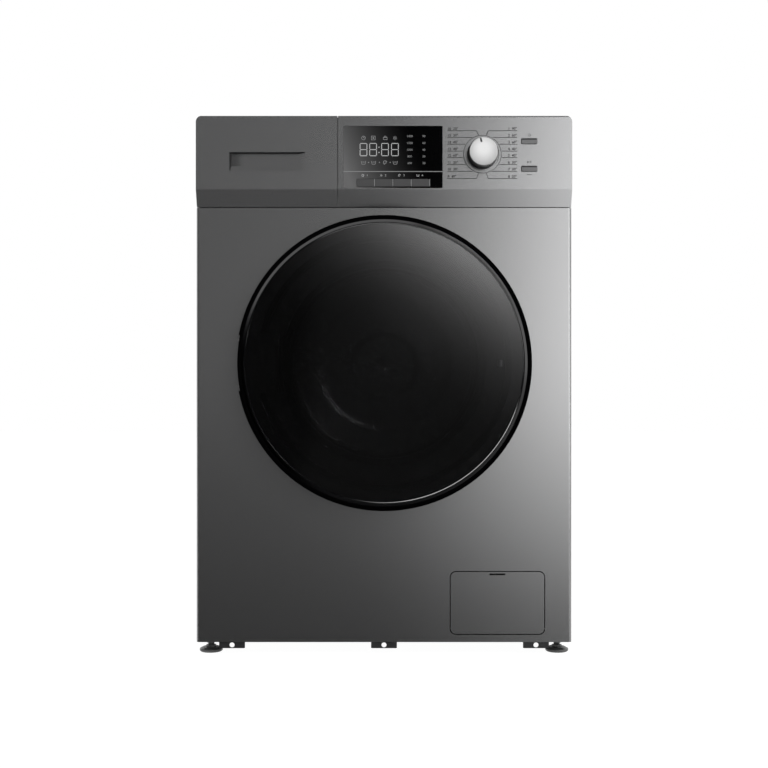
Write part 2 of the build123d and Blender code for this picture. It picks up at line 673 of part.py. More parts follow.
def screw(x, z, seat):
    """Hexagon screw with a washer collar, seated at a depth and pointing forwards."""
    shank = rod(SCREW_SHANK, x, z, (seat - SCREW_LENGTH, seat))
    head = front_slab(RegularPolygon(SCREW_HEAD - 1, 6), x, z, (seat, seat + SCREW_THICK))
    return shank + head + rod(SCREW_HEAD, x, z, (seat, seat + 1))


def cabinet_screws():
    """All the screws of the rear side, as separate solids."""
    panel = [screw(x, z, CARCASS_DEPTH) for x, z in rear_screw_places()]
    cover = [screw(x, z, CARCASS_DEPTH + SHEET) for x, z in cover_screw_places()]
    return Compound(children=panel + cover)


def rear_plugs():
    """Transit hole caps and the grommet that the mains lead would pass."""
    seat = CARCASS_DEPTH
    plugs = []
    for x, z in cap_places():
        outline = [
            (0, seat - 6), (TRANSIT_HOLE - SEAT_GAP, seat - 6), (TRANSIT_HOLE - SEAT_GAP, seat),
            (CAP_RADIUS, seat), (CAP_RADIUS, seat + 1), (CAP_RADIUS - CAP_THICK, seat + CAP_THICK),
            (0, seat + CAP_THICK),
        ]
        plugs.append(turned(outline, x, z))
    hole = GLAND_RADIUS - SEAT_GAP
    grommet = [
        (GLAND_BORE, seat - 8), (hole, seat - 8), (hole, seat), (hole + 4, seat),
        (hole + 4, seat + 3), (GLAND_BORE + 3, seat + 10), (GLAND_BORE, seat + 10),
    ]
    plugs.append(turned(grommet, GLAND_X, GLAND_Z))
    return Compound(children=plugs)


def recess_radius(depth):
    """Radius of the recess's sloping wall at a depth."""
    return RECESS_RADIUS - RECESS_DRAFT * depth / RECESS_DEPTH


def front_panel():
    """Front sheet with side returns, pressed door recess, rolled mouth and flap opening."""
    top = FASCIA_BOTTOM - FASCIA_GAP
    inner = HALF - SHEET
    outline = [
        (-HALF, SKIRT), (-HALF, 0, EDGE_RADIUS), (HALF, 0, EDGE_RADIUS), (HALF, SKIRT), (inner, SKIRT),
        (inner, SHEET, EDGE_RADIUS - SHEET), (-inner, SHEET, EDGE_RADIUS - SHEET), (-inner, SKIRT),
    ]
    panel = plan_slab(outline, (FLOOR_GAP, top))
    panel += block((-inner, inner), (SHEET / 2, SKIRT), (top - SHEET, top))
    panel -= rod(RECESS_RADIUS, 0, AXIS_Z, (-1, SHEET + 1))
    floor = recess_radius(RECESS_DEPTH)
    recess = [
        (RECESS_RADIUS + 2 * SHEET, 0), (RECESS_RADIUS, 0), (floor, RECESS_DEPTH),
        (MOUTH_RADIUS, RECESS_DEPTH), (MOUTH_RADIUS, RECESS_DEPTH + LIP_DEPTH),
        (MOUTH_RADIUS + SHEET, RECESS_DEPTH + LIP_DEPTH), (MOUTH_RADIUS + SHEET, RECESS_DEPTH + SHEET),
        (floor + SHEET, RECESS_DEPTH + SHEET), (RECESS_RADIUS + SHEET, SHEET),
        (RECESS_RADIUS + 2 * SHEET, SHEET),
    ]
    panel += turned(recess)
    slot = Rectangle(2 * SLOT_HALF_WIDTH, 2 * SLOT_HALF_HEIGHT)
    panel -= front_slab(slot, HOOK_RADIUS_PLACE, AXIS_Z, (RECESS_DEPTH - 1, RECESS_DEPTH + SHEET + 1))
    flap = RectangleRounded(FLAP_WIDTH, FLAP_HEIGHT, FLAP_ROUND)
    return panel - front_slab(flap, FLAP_X, FLAP_Z, (-1, SHEET + 1))


def top_panel():
    """Worktop board behind the control panel, with rounded edges."""
    near = FASCIA_RETURN + FASCIA_GAP
    board = block((-HALF, HALF), (near, CARCASS_DEPTH), (HEIGHT - WORKTOP_THICK, HEIGHT))
    edges = board.edges().filter_by(Axis.Z) + board.faces().sort_by(Axis.Z)[-1].edges()
    return fillet(edges, WORKTOP_ROUND)


def channel(x, depth):
    """U-shaped channel of the top frame, open upwards."""
    long_x = x[1] - x[0] > depth[1] - depth[0]
    solid = block(x, depth, (RAIL_BOTTOM, CABINET_TOP))
    inset_x = (x[0], x[1]) if long_x else (x[0] + RAIL_SHEET, x[1] - RAIL_SHEET)
    inset_d = (depth[0] + RAIL_SHEET, depth[1] - RAIL_SHEET) if long_x else depth
    return solid - block(inset_x, inset_d, (RAIL_BOTTOM + RAIL_SHEET, CABINET_TOP + 1))


def top_frame():
    """Front and rear bars and the two side rails that the springs hang from."""
    reach = HALF - FLANGE - PANEL_GAP
    near = FASCIA_RETURN + FASCIA_GAP
    far = CARCASS_DEPTH - SHEET - PANEL_GAP - SHEET - PANEL_GAP
    bars = [(near, near + BAR_DEPTH), (far - BAR_DEPTH, far)]
    frame = channel((-reach, reach), bars[0]) + channel((-reach, reach), bars[1])
    for side in SIDES:
        ends = sorted((side * reach, side * (reach - RAIL_WIDTH)))
        frame += channel(ends, (bars[0][1], bars[1][0]))
        hole = Cylinder(HANGER_RADIUS + SEAT_GAP, 4 * RAIL_SHEET)
        frame -= Pos(side * SPRING_X, at(SPRING_DEPTH), RAIL_BOTTOM) * hole
    return frame


# Controls

def fascia_outline(inset, reach):
    """Side view of control panel and drawer front, drawn in by inset, open at the back."""
    top, bottom = FASCIA_TOP - inset, FASCIA_BOTTOM + inset
    return [
        (FASCIA_RETURN + reach, top), (FACE + inset, top, FASCIA_TOP_ROUND - inset / 2),
        (FACE + inset, CREASE_Z + inset / 5), (-FACET_PROUD + inset, bottom),
        (FASCIA_FOOT + reach, bottom),
    ]


def fascia_shell(x, corner_side):
    """Hollow length of the fascia between two x limits, with one rounded top corner."""
    shell = None
    for inset, reach in ((0, 0), (FASCIA_WALL, 1)):
        limits = (x[0] + inset, x[1] - inset)
        solid = side_slab(fascia_outline(inset, reach), limits)
        wide = 2 * (x[1] - x[0])
        tall = 2 * FASCIA_HEIGHT
        round_off = RectangleRounded(wide, tall, FASCIA_CORNER - inset)
        outer_x = limits[1] if corner_side > 0 else limits[0]
        middle = (outer_x - corner_side * wide / 2, FASCIA_TOP - inset - tall / 2)
        solid &= front_slab(round_off, *middle, (2 * FACE, 2 * FASCIA_RETURN))
        shell = solid if shell is None else shell - solid
    return shell


def keys():
    """X, height, width and height of every push button's face."""
    options = [(x, OPTION_Z, OPTION_WIDTH, OPTION_HEIGHT) for x in OPTION_PLACES]
    return options + [(KEY_X, POWER_Z, KEY_WIDTH, KEY_HEIGHT), (KEY_X, START_Z, KEY_WIDTH, KEY_HEIGHT)]


def key_face(width, height, grow):
    """Rounded outline of a push button, larger by grow all round."""
    return RectangleRounded(width + 2 * grow, height + 2 * grow, KEY_ROUND)


def board_limits():
    """Lowest and highest edge of the control board."""
    return CREASE_Z + BOARD_MARGIN, FASCIA_TOP - BOARD_MARGIN


def post_places():
    """Posts of the control panel that carry the board's corners."""
    low, high = board_limits()
    columns = (BOARD_LEFT + POST_INSET, BOARD_RIGHT - POST_INSET)
    return [(x, z) for x in columns for z in (low + POST_INSET, high - POST_INSET)]


def backing():
    """Part of the control panel behind the drawer front, with the tray's opening."""
    room = HOUSING_ROOM
    depth = (BACKING_DEPTH, BACKING_DEPTH + BACKING_WALL)
    low, high = FASCIA_BOTTOM + BACKING_MARGIN, FASCIA_TOP - BACKING_MARGIN
    right = PANEL_LEFT + FASCIA_WALL
    behind = block((-HALF, right), (depth[0], 2 * FASCIA_RETURN), (0, HEIGHT))
    rim = fascia_shell((-FASCIA_RIGHT, right), -1) & behind
    plate = block((-FASCIA_RIGHT + BACKING_MARGIN / 2, right), depth, (low - 1, high + 1))
    tray_z = (TRAY_BOTTOM - SEAT_GAP, TRAY_TOP + room)
    return rim + plate - block((TRAY_LEFT - room, TRAY_RIGHT + room), (0, 2 * depth[1]), tray_z)


def control_panel():
    """Moulded fascia with window seat, dial dish, button openings and board posts."""
    panel = fascia_shell((PANEL_LEFT, FASCIA_RIGHT), 1) + backing()
    through = (FACE - 1, INNER_FACE + 1)
    seat = RectangleRounded(WINDOW_WIDTH + 2 * SEAT_GAP, WINDOW_HEIGHT + 2 * SEAT_GAP, WINDOW_ROUND)
    panel -= front_slab(seat, WINDOW_X, WINDOW_Z, (FACE - 1, FACE + WINDOW_THICK))
    screen = Rectangle(WINDOW_WIDTH - 2 * WINDOW_LEDGE, SCREEN_HEIGHT)
    screen_z = WINDOW_Z + WINDOW_HEIGHT / 2 - WINDOW_LEDGE - SCREEN_HEIGHT / 2
    panel -= front_slab(screen, WINDOW_X, screen_z, through)
    for x, z, width, height in keys():
        panel -= front_slab(key_face(width, height, SLIDE_GAP), x, z, through)
    panel += rod(BEZEL_RADIUS, KNOB_X, KNOB_Z, (FACE - BEZEL_PROUD, INNER_FACE + DISH_DEPTH))
    panel -= rod(BEZEL_RADIUS - BEZEL_WIDTH, KNOB_X, KNOB_Z, (FACE - 2 * BEZEL_PROUD, FACE + DISH_DEPTH))
    panel -= rod(STEM_RADIUS + SEAT_GAP, KNOB_X, KNOB_Z, (FACE, INNER_FACE + 2 * DISH_DEPTH))
    for x, z in post_places():
        panel += rod(POST_RADIUS, x, z, (INNER_FACE - 1, BOARD_DEPTH))
    return panel


def display_window():
    """Smoked cover plate with the four option button openings."""
    plate = RectangleRounded(WINDOW_WIDTH, WINDOW_HEIGHT, WINDOW_ROUND)
    window = front_slab(plate, WINDOW_X, WINDOW_Z, (FACE, FACE + WINDOW_THICK))
    for x in OPTION_PLACES:
        hole = key_face(OPTION_WIDTH, OPTION_HEIGHT, SLIDE_GAP)
        window -= front_slab(hole, x, OPTION_Z, (FACE - 1, INNER_FACE))
    return window


def push_button(x, z, width, height, proud):
    """Push button: crowned cap, collar behind the control panel and plunger to its switch."""
    collar = INNER_FACE + SEAT_GAP
    cap = front_slab(key_face(width, height, 0), x, z, (FACE - proud, collar))
    edges = cap.faces().sort_by(Axis.Y)[0].edges()
    cap = fillet(edges, proud / 2)
    button = cap + front_slab(key_face(width, height, KEY_FLANGE), x, z, (collar, collar + 2))
    return button + rod(HANGER_RADIUS, x, z, (collar, SWITCH_FACE - KEY_TRAVEL - SEAT_GAP))


def programme_knob():
    """Tapered cap on a stem, with a pointer groove in its front."""
    foot_depth = FACE + DISH_DEPTH - SEAT_GAP
    front = FACE - KNOB_PROUD
    outline = [
        (0, front), (KNOB_RADIUS - 2 * KNOB_DRAFT, front, 1.6), (KNOB_RADIUS - KNOB_DRAFT, FACE - 4),
        (KNOB_RADIUS + KNOB_SKIRT, FACE - 3), (KNOB_RADIUS + KNOB_SKIRT, foot_depth),
        (STEM_RADIUS, foot_depth),
        (STEM_RADIUS, BOARD_DEPTH - 1), (0, BOARD_DEPTH - 1),
    ]
    knob = turned(outline, KNOB_X, KNOB_Z)
    groove = RectangleRounded(POINTER_WIDTH, POINTER_LENGTH, POINTER_WIDTH / 3)
    place = Rot(0, 0, KNOB_TURN) * Pos(0, KNOB_RADIUS - 3 * KNOB_DRAFT - POINTER_LENGTH / 2) * groove
    return knob - front_slab(place, KNOB_X, KNOB_Z, (front - 1, front + POINTER_DEPTH))


def control_board():
    """Circuit board with switches, encoder and display module."""
    low, high = board_limits()
    board = block((BOARD_LEFT, BOARD_RIGHT), (BOARD_DEPTH, BOARD_DEPTH + BOARD_THICK), (low, high))
    for x, z, width, height in keys():
        size = SWITCH_SIZE / 2
        lift = max(z - size, low)
        board += block((x - size, x + size), (SWITCH_FACE, BOARD_DEPTH), (lift - 2 * size, lift + 2 * size))
    size = ENCODER_SIZE / 2
    encoder_face = BOARD_DEPTH - ENCODER_TALL
    encoder = Rectangle(2 * size, 2 * size)
    board += front_slab(encoder, KNOB_X, KNOB_Z, (encoder_face, BOARD_DEPTH))
    board += rod(ENCODER_BUSH, KNOB_X, KNOB_Z, (encoder_face - ENCODER_BUSH, encoder_face))
    bore = (encoder_face - 2 * ENCODER_BUSH, BOARD_DEPTH - SEAT_GAP)
    board -= rod(STEM_RADIUS + RUNNING_GAP, KNOB_X, KNOB_Z, bore)
    top = WINDOW_Z + WINDOW_HEIGHT / 2 - 2 * WINDOW_LEDGE
    reach = WINDOW_WIDTH / 2 - 3 * WINDOW_LEDGE
    screen = (INNER_FACE + SEAT_GAP, BOARD_DEPTH)
    return board + block((WINDOW_X - reach, WINDOW_X + reach), screen, (top - SCREEN_HEIGHT / 1.5, top))


# Detergent drawer

def drawer_front():
    """Fascia length that closes the drawer, with a finger pocket cut up under its face."""
    front = fascia_shell((-FASCIA_RIGHT, DRAWER_RIGHT), -1)
    half, tall = POCKET_WIDTH / 2, POCKET_HEIGHT / 2
    wall = POCKET_WALL
    cup = ((DRAWER_MIDDLE - half - wall, DRAWER_MIDDLE + half + wall), (INNER_FACE - 1, TRAY_START))
    front += block(*cup, (POCKET_Z - tall - wall, POCKET_Z + tall + POCKET_UNDERCUT + wall))
    front -= block((-HALF, 0), (TRAY_START, 2 * FASCIA_RETURN), (0, HEIGHT))
    deep = FACE + POCKET_DEEP
    pocket = [
        (FACE - 1, POCKET_Z - tall), (FACE, POCKET_Z - tall), (deep, POCKET_Z + tall / 3, 6),
        (deep, POCKET_Z + tall + POCKET_UNDERCUT, 2), (INNER_FACE, POCKET_Z + tall + POCKET_UNDERCUT),
        (INNER_FACE, POCKET_Z + tall), (FACE - 1, POCKET_Z + tall),
    ]
    return front - side_slab(pocket, (DRAWER_MIDDLE - half, DRAWER_MIDDLE + half))


def compartments():
    """X limits of prewash, softener and main wash compartments."""
    prewash = (TRAY_LEFT + TRAY_WALL, TRAY_LEFT + TRAY_WALL + PREWASH_WIDTH)
    softener = (prewash[1] + TRAY_WALL, prewash[1] + TRAY_WALL + SOFTENER_WIDTH)
    return prewash, softener, (softener[1] + TRAY_WALL, TRAY_RIGHT - TRAY_WALL)


def drawer_tray():
    """Tray with three compartments whose floors fall towards the back."""
    end = TRAY_START + TRAY_LENGTH
    tray = block((TRAY_LEFT, TRAY_RIGHT), (TRAY_START, end), (TRAY_BOTTOM, TRAY_TOP))
    for x in compartments():
        hollow = [
            (TRAY_START + TRAY_FRONT, TRAY_TOP + 1), (TRAY_START + TRAY_FRONT, TRAY_BOTTOM + 14, TRAY_ROUND),
            (end - TRAY_WALL, TRAY_BOTTOM + 3 * TRAY_WALL, TRAY_ROUND), (end - TRAY_WALL, TRAY_TOP + 1),
        ]
        tray -= side_slab(hollow, x)
    return tray


def siphon_cap():
    """Cap that sits in the softener compartment's mouth and siphons it empty."""
    left, right = compartments()[1]
    end = TRAY_START + TRAY_LENGTH - TRAY_WALL - SEAT_GAP
    limits = (left + SEAT_GAP, right - SEAT_GAP)
    cap = block(limits, (end - SIPHON_LENGTH, end), (TRAY_TOP - 4, TRAY_TOP))
    middle = (left + right) / 2
    cap += upright([(0, TRAY_BOTTOM + 16), (7, TRAY_BOTTOM + 16), (9, TRAY_TOP - 2), (0, TRAY_TOP - 2)],
                   middle, end - 22)
    rib_depth = (end - SIPHON_LENGTH + 6, end - 34)
    return cap + block((middle - 2, middle + 2), rib_depth, (TRAY_TOP - 12, TRAY_TOP))


def dispenser_housing():
    """Box round the tray with floor runners, roof, rear inlet and outlet to the tub."""
    room, wall = HOUSING_ROOM, HOUSING_WALL
    inside = (TRAY_LEFT - room, TRAY_RIGHT + room)
    front, end = HOUSING_FRONT, HOUSING_FRONT + HOUSING_LENGTH
    floor, roof = HOUSING_BOTTOM + wall, TRAY_TOP + room
    outside = (inside[0] - wall, inside[1] + wall)
    housing = block(outside, (front, end), (HOUSING_BOTTOM - room, roof + wall))
    housing -= block(inside, (front - 1, end - wall), (floor - room, roof))
    for x in (TRAY_LEFT + TRAY_WALL, TRAY_RIGHT - TRAY_WALL):
        housing += block((x - 3, x + 3), (front, end - wall), (floor - room, floor))
    spigot = HOUSING_BOTTOM - room
    outline = [(SPIGOT_RADIUS - 3, spigot - SPIGOT_LENGTH), (SPIGOT_RADIUS, spigot - SPIGOT_LENGTH),
               (SPIGOT_RADIUS, spigot + 1), (SPIGOT_RADIUS - 3, spigot + 1)]
    place = (DRAWER_MIDDLE, (front + end) / 2 + SPIGOT_LENGTH)
    housing += upright(outline, *place)
    drain = Cylinder(SPIGOT_RADIUS - 3, 4 * wall)
    housing -= Pos(place[0], at(place[1]), spigot) * drain
    housing += rod(PUMP_OUTLET, VALVE_X, inlet_hose_z(), (end - 1, end + SPIGOT_LENGTH))
    return housing


def inlet_hose_z():
    """Height of the straight hose from the inlet valve to the dispenser."""
    return VALVE_Z


# Water

def inlet_valve():
    """Solenoid valve: threaded spigot behind the rear panel, body, coil and hose tail in front of it."""
    rear = CARCASS_DEPTH
    inside = rear - SHEET - SEAT_GAP
    outline = [
        (0, inside - VALVE_LENGTH), (PUMP_OUTLET, inside - VALVE_LENGTH), (PUMP_OUTLET, inside - 44),
        (VALVE_BODY, inside - 42), (VALVE_BODY, inside - 4), (VALVE_FLANGE, inside - 4),
        (VALVE_FLANGE, inside),
        (INLET_RADIUS, inside), (INLET_RADIUS, rear + SEAT_GAP), (VALVE_BODY, rear + SEAT_GAP),
        (VALVE_BODY, rear + SPIGOT_FLANGE), (INLET_RADIUS, rear + SPIGOT_FLANGE),
        (INLET_RADIUS, rear + REAR_PROUD),
        (INLET_RADIUS - 3.5, rear + REAR_PROUD), (INLET_RADIUS - 3.5, rear - 4), (0, rear - 4),
    ]
    half = COIL_SIZE / 2
    coil = block((VALVE_X - half, VALVE_X + half), (inside - 38, inside - 8),
                 (VALVE_Z - VALVE_BODY - COIL_SIZE, VALVE_Z))
    return turned(outline, VALVE_X, VALVE_Z) + coil


def drain_outlet():
    """Spigot through the rear panel that takes the drain hose outside and the pump's hose inside."""
    rear = CARCASS_DEPTH
    inside = rear - SHEET - SEAT_GAP
    bore = PUMP_OUTLET - 3
    outline = [
        (bore, inside - 26), (PUMP_OUTLET, inside - 26), (PUMP_OUTLET, inside - 4),
        (DRAIN_FLANGE, inside - 4),
        (DRAIN_FLANGE, inside), (DRAIN_RADIUS, inside), (DRAIN_RADIUS, rear + SEAT_GAP),
        (DRAIN_FLANGE, rear + SEAT_GAP), (DRAIN_FLANGE, rear + SPIGOT_FLANGE),
        (DRAIN_RADIUS, rear + SPIGOT_FLANGE),
        (DRAIN_RADIUS, rear + REAR_PROUD), (bore, rear + REAR_PROUD),
    ]
    return turned(outline, DRAIN_X, DRAIN_Z)


def pump_places():
    """Depths of the pump's inlet and outlet spigots."""
    return FILTER_START + PUMP_TUBE_LENGTH - 2 * PUMP_INLET, FILTER_START + PUMP_TUBE_LENGTH + PUMP_INLET + 4


def drain_pump():
    """Filter tube, pump chamber and motor on a foot that stands on the base frame."""
    outer = FILTER_RADIUS + FILTER_TUBE_WALL
    tube_end = FILTER_START + PUMP_TUBE_LENGTH
    motor_end = tube_end + PUMP_MOTOR_LENGTH
    outline = [
        (FILTER_RADIUS, FILTER_START), (outer, FILTER_START), (outer, tube_end),
        (PUMP_MOTOR_RADIUS, tube_end + 6),
        (PUMP_MOTOR_RADIUS, motor_end, 4), (0, motor_end), (0, tube_end), (FILTER_RADIUS, tube_end - 4),
    ]
    pump = turned(outline, FLAP_X, FLAP_Z)
    foot_x = (FLAP_X - PUMP_FOOT_HALF, FLAP_X + PUMP_FOOT_HALF)
    foot_depth = (PUMP_FOOT_DEPTH, PUMP_FOOT_DEPTH + PUMP_FOOT_LENGTH)
    pump += block(foot_x, foot_depth, (FLOOR_GAP + BASE_SHEET, FLAP_Z))
    pump -= rod(FILTER_RADIUS, FLAP_X, FLAP_Z, (FILTER_START, tube_end - 4))
    inlet, outlet = pump_places()
    along_x = Rot(0, 90, 0)
    left = FLAP_X - outer - PUMP_SPIGOT
    spigot = Cylinder(PUMP_INLET, PUMP_SPIGOT + FILTER_TUBE_WALL) - Cylinder(PUMP_INLET - 3, 2 * outer)
    pump += Pos(left + (PUMP_SPIGOT + FILTER_TUBE_WALL) / 2, at(inlet), FLAP_Z) * along_x * spigot
    right = FLAP_X + PUMP_MOTOR_RADIUS
    return pump + Pos(right + PUMP_SPIGOT / 2 - 1, at(outlet), FLAP_Z) * along_x * Cylinder(
        PUMP_OUTLET, PUMP_SPIGOT + 2
    )


def pump_filter():
    """Screw-in lint filter with a grip bar, a sealing cap and a slotted basket."""
    seat = FILTER_START - SEAT_GAP
    cap = FILTER_RADIUS - RUNNING_GAP
    outer = FILTER_RADIUS + FILTER_TUBE_WALL - 1
    outline = [
        (0, seat - FILTER_FLANGE), (outer, seat - FILTER_FLANGE), (outer, seat), (cap, seat),
        (cap, seat + FILTER_CAP),
        (FILTER_CORE, seat + FILTER_CAP), (FILTER_CORE, seat + FILTER_LENGTH), (0, seat + FILTER_LENGTH),
    ]
    body = turned(outline, FLAP_X, FLAP_Z)
    front = seat - FILTER_FLANGE
    bar = RectangleRounded(HANDLE_LENGTH, HANDLE_THICK, HANDLE_THICK / 2 - 0.1)
    body += front_slab(bar, FLAP_X, FLAP_Z, (front - HANDLE_PROUD, front))
    start = seat + FILTER_CAP + 8
    for angle in (0, 60, 120):
        slot = Rot(0, 0, angle) * Rectangle(3 * FILTER_CORE, 6)
        body -= front_slab(slot, FLAP_X, FLAP_Z, (start, start + FILTER_LENGTH / 2))
    return body


def surround_limits():
    """X and height limits of the filter surround's outside."""
    x = FLAP_WIDTH / 2 + SURROUND_MARGIN
    z = FLAP_HEIGHT / 2
    return (FLAP_X - x, FLAP_X + x), (FLAP_Z - z - FLAP_GAP, FLAP_Z + z + SURROUND_MARGIN)


def filter_surround():
    """Moulded tray behind the flap, with the filter's hole and the flap's pin sockets."""
    x, z = surround_limits()
    front = SHEET + PANEL_GAP
    wall = SURROUND_WALL
    tray = block(x, (front, SURROUND_BACK), z)
    tray -= block((x[0] + wall, x[1] - wall), (front - 1, SURROUND_BACK - wall), (z[0] + 0.6, z[1] - wall))
    tray -= rod(FILTER_RADIUS + FILTER_TUBE_WALL + SEAT_GAP, FLAP_X, FLAP_Z, (front, SURROUND_BACK + 1))
    along_x = Rot(0, 90, 0)
    socket = Cylinder(FLAP_PIN_RADIUS + RUNNING_GAP, 2 * (x[1] - x[0]))
    return tray - Pos(FLAP_X, at(FLAP_PIN_DEPTH), FLAP_PIN_Z) * along_x * socket


def filter_flap():
    """Flush flap with a finger notch at the top and stub pins on lugs at the bottom."""
    wide, tall = FLAP_WIDTH - 2 * FLAP_GAP, FLAP_HEIGHT - 2 * FLAP_GAP
    flap = front_slab(RectangleRounded(wide, tall, FLAP_ROUND - FLAP_GAP), FLAP_X, FLAP_Z, (0, FLAP_THICK))
    notch = RectangleRounded(NOTCH_WIDTH, 2 * NOTCH_HEIGHT, NOTCH_HEIGHT / 2)
    flap -= front_slab(notch, FLAP_X, FLAP_Z + tall / 2, (-1, FLAP_THICK + 1))
    inner = surround_limits()[0][1] - SURROUND_WALL - FLAP_X
    pin_end = inner + SURROUND_WALL - SEAT_GAP
    along_x = Rot(0, 90, 0)
    for side in SIDES:
        lug_x = sorted((side * (inner - SEAT_GAP), side * (wide / 2 - FLAP_LUG - FLAP_ROUND)))
        lug = Pos(FLAP_X + sum(lug_x) / 2, at(FLAP_PIN_DEPTH), FLAP_PIN_Z) * along_x
        flap += lug * Cylinder(FLAP_PIN_RADIUS, lug_x[1] - lug_x[0])
        stub = Pos(FLAP_X + side * (pin_end + inner) / 2, at(FLAP_PIN_DEPTH), FLAP_PIN_Z) * along_x
        flap += stub * Cylinder(FLAP_PIN_RADIUS, pin_end - inner + 2 * SEAT_GAP)
    return flap


def bellows(low, high, radius, x, depth, folds):
    """Upright folded hose between two heights."""
    step = (high - low) / folds
    outside = [(radius + HOSE_WALL + (4 if i % 2 else 0), low + step * i) for i in range(folds + 1)]
    inside = [(r - HOSE_WALL, z) for r, z in reversed(outside)]
    return upright(outside + inside, x, depth)


def internal_hoses():
    """Hoses from valve to dispenser, dispenser to tub, sump to pump and pump to outlet."""
    fit = SEAT_GAP
    tail = CARCASS_DEPTH - SHEET - SEAT_GAP
    inner, outer = PUMP_OUTLET + fit, PUMP_OUTLET + HOSE_WALL
    dispenser_end = HOUSING_FRONT + HOUSING_LENGTH
    fill = (dispenser_end + fit, tail - 44)
    feed = rod(outer, VALVE_X, inlet_hose_z(), fill) - rod(inner, VALVE_X, inlet_hose_z(), fill)
    spout = (DRAWER_MIDDLE, (HOUSING_FRONT + dispenser_end) / 2 + SPIGOT_LENGTH)
    down = bellows(tub_spout_top() - SPIGOT_LENGTH, HOUSING_BOTTOM - HOUSING_ROOM - fit,
                   SPIGOT_RADIUS + fit, *spout, 8)
    inlet, outlet = pump_places()
    pump_left = FLAP_X - FILTER_RADIUS - FILTER_TUBE_WALL
    sump_depth = SUMP_FRONT + SUMP_LENGTH / 2
    top = SUMP_FLOOR - TUB_WALL - fit
    bend = min(FLAP_Z + HOSE_RISE, top - HOSE_BEND - HOSE_STRAIGHT)
    to_pump = hose_path([(0, sump_depth, top), (0, sump_depth, bend),
                         (pump_left - HOSE_RUN, inlet, FLAP_Z), (pump_left - fit, inlet, FLAP_Z)], HOSE_BEND)
    pump_right = FLAP_X + PUMP_MOTOR_RADIUS
    route = [
        (pump_right + fit, outlet, FLAP_Z), (DRAIN_X, outlet, FLAP_Z), (DRAIN_X, outlet + DRAIN_RUN, DRAIN_Z),
        (DRAIN_X, tail - 4 - fit, DRAIN_Z),
    ]
    to_outlet = hose_path(route, DRAIN_BEND)
    sump_hose = tube_along(to_pump, PUMP_INLET + HOSE_WALL, PUMP_INLET + fit)
    return Compound(children=[feed, down, sump_hose, tube_along(to_outlet, outer, inner)])


# Door

def door_ring():
    """Turned ring with a glass seat, a hinge clearance on the left and a finger grip on the right."""
    radius, back, crest = DOOR_RADIUS, -DOOR_BACK, -DOOR_FRONT
    seat = crest + GLASS_THICK + 0.5
    glass = radius - RING_CONE - 4.5
    inner = glass - GLASS_LAND
    widest = -HINGE_PROUD
    wall = RING_WALL
    outline = [
        (radius - 2, back), (radius, back - 4), (radius, widest), (radius - RING_CONE, crest + 2),
        (radius - RING_CONE - 2, crest, 0.8), (glass, crest + 0.6), (glass, seat), (inner, seat),
        (inner, seat + 3),
        (radius - RING_CONE - wall, seat + 3), (radius - wall, widest), (radius - wall, back),
    ]
    ring = turned(outline)
    ring -= hinge_room(-radius - 1)
    deep = radius - GRIP_DEEP
    scoop = turned([(deep, widest - 2), (radius + 1, widest + 3), (radius + 1, 0), (deep, 0)])
    grip = block((0, radius + 2), (crest, 0), (AXIS_Z - GRIP_HALF, AXIS_Z + GRIP_HALF))
    return ring - (scoop & grip)


def hinge_room(left):
    """Space kept free in the door for the hinge bracket and its knuckles."""
    front = -HINGE_PROUD - KNUCKLE_RADIUS - 1
    limits = (AXIS_Z - POCKET_HALF, AXIS_Z + POCKET_HALF)
    return block((left, HINGE_X + HINGE_POCKET_REACH), (front, FRAME_BACK + 1), limits)


def crown_depth(r, crown, reach, rim):
    """Depth at a radius of a ball-shaped crown that meets the rim's depth at its reach."""
    rise = rim - crown
    ball = (reach ** 2 + rise ** 2) / (2 * rise)
    return crown + ball - sqrt(ball ** 2 - r ** 2)


def door_glass():
    """Crowned smoked cover glass with a bevelled edge."""
    seat = GLASS_THICK + 0.5 - DOOR_FRONT
    edge = DOOR_RADIUS - RING_CONE - 4.5 - SEAT_GAP
    rim = seat - SEAT_GAP
    front_edge = rim - GLASS_THICK + 0.6
    bevel, land = edge - 1.5, edge - 2 * GLASS_LAND
    crown, inner_crown = -DOOR_CROWN, GLASS_THICK - DOOR_CROWN
    front_middle = (edge / 2, crown_depth(edge / 2, crown, bevel, front_edge))
    back_middle = (edge / 2, crown_depth(edge / 2, inner_crown, land, rim))
    front = ThreePointArc((0, crown), front_middle, (bevel, front_edge))
    side = Polyline((bevel, front_edge), (edge, front_edge + 1.5), (edge, rim), (land, rim))
    back = ThreePointArc((land, rim), back_middle, (0, inner_crown))
    axis = Line((0, inner_crown), (0, crown))
    return Pos(0, FRONT_Y, AXIS_Z) * revolve(make_face([front, side, back, axis]), Axis.Y)


def frame_radius():
    """Outer radius of the inner frame's part that enters the recess."""
    return recess_radius(RECESS_DEPTH) - FRAME_ROOM


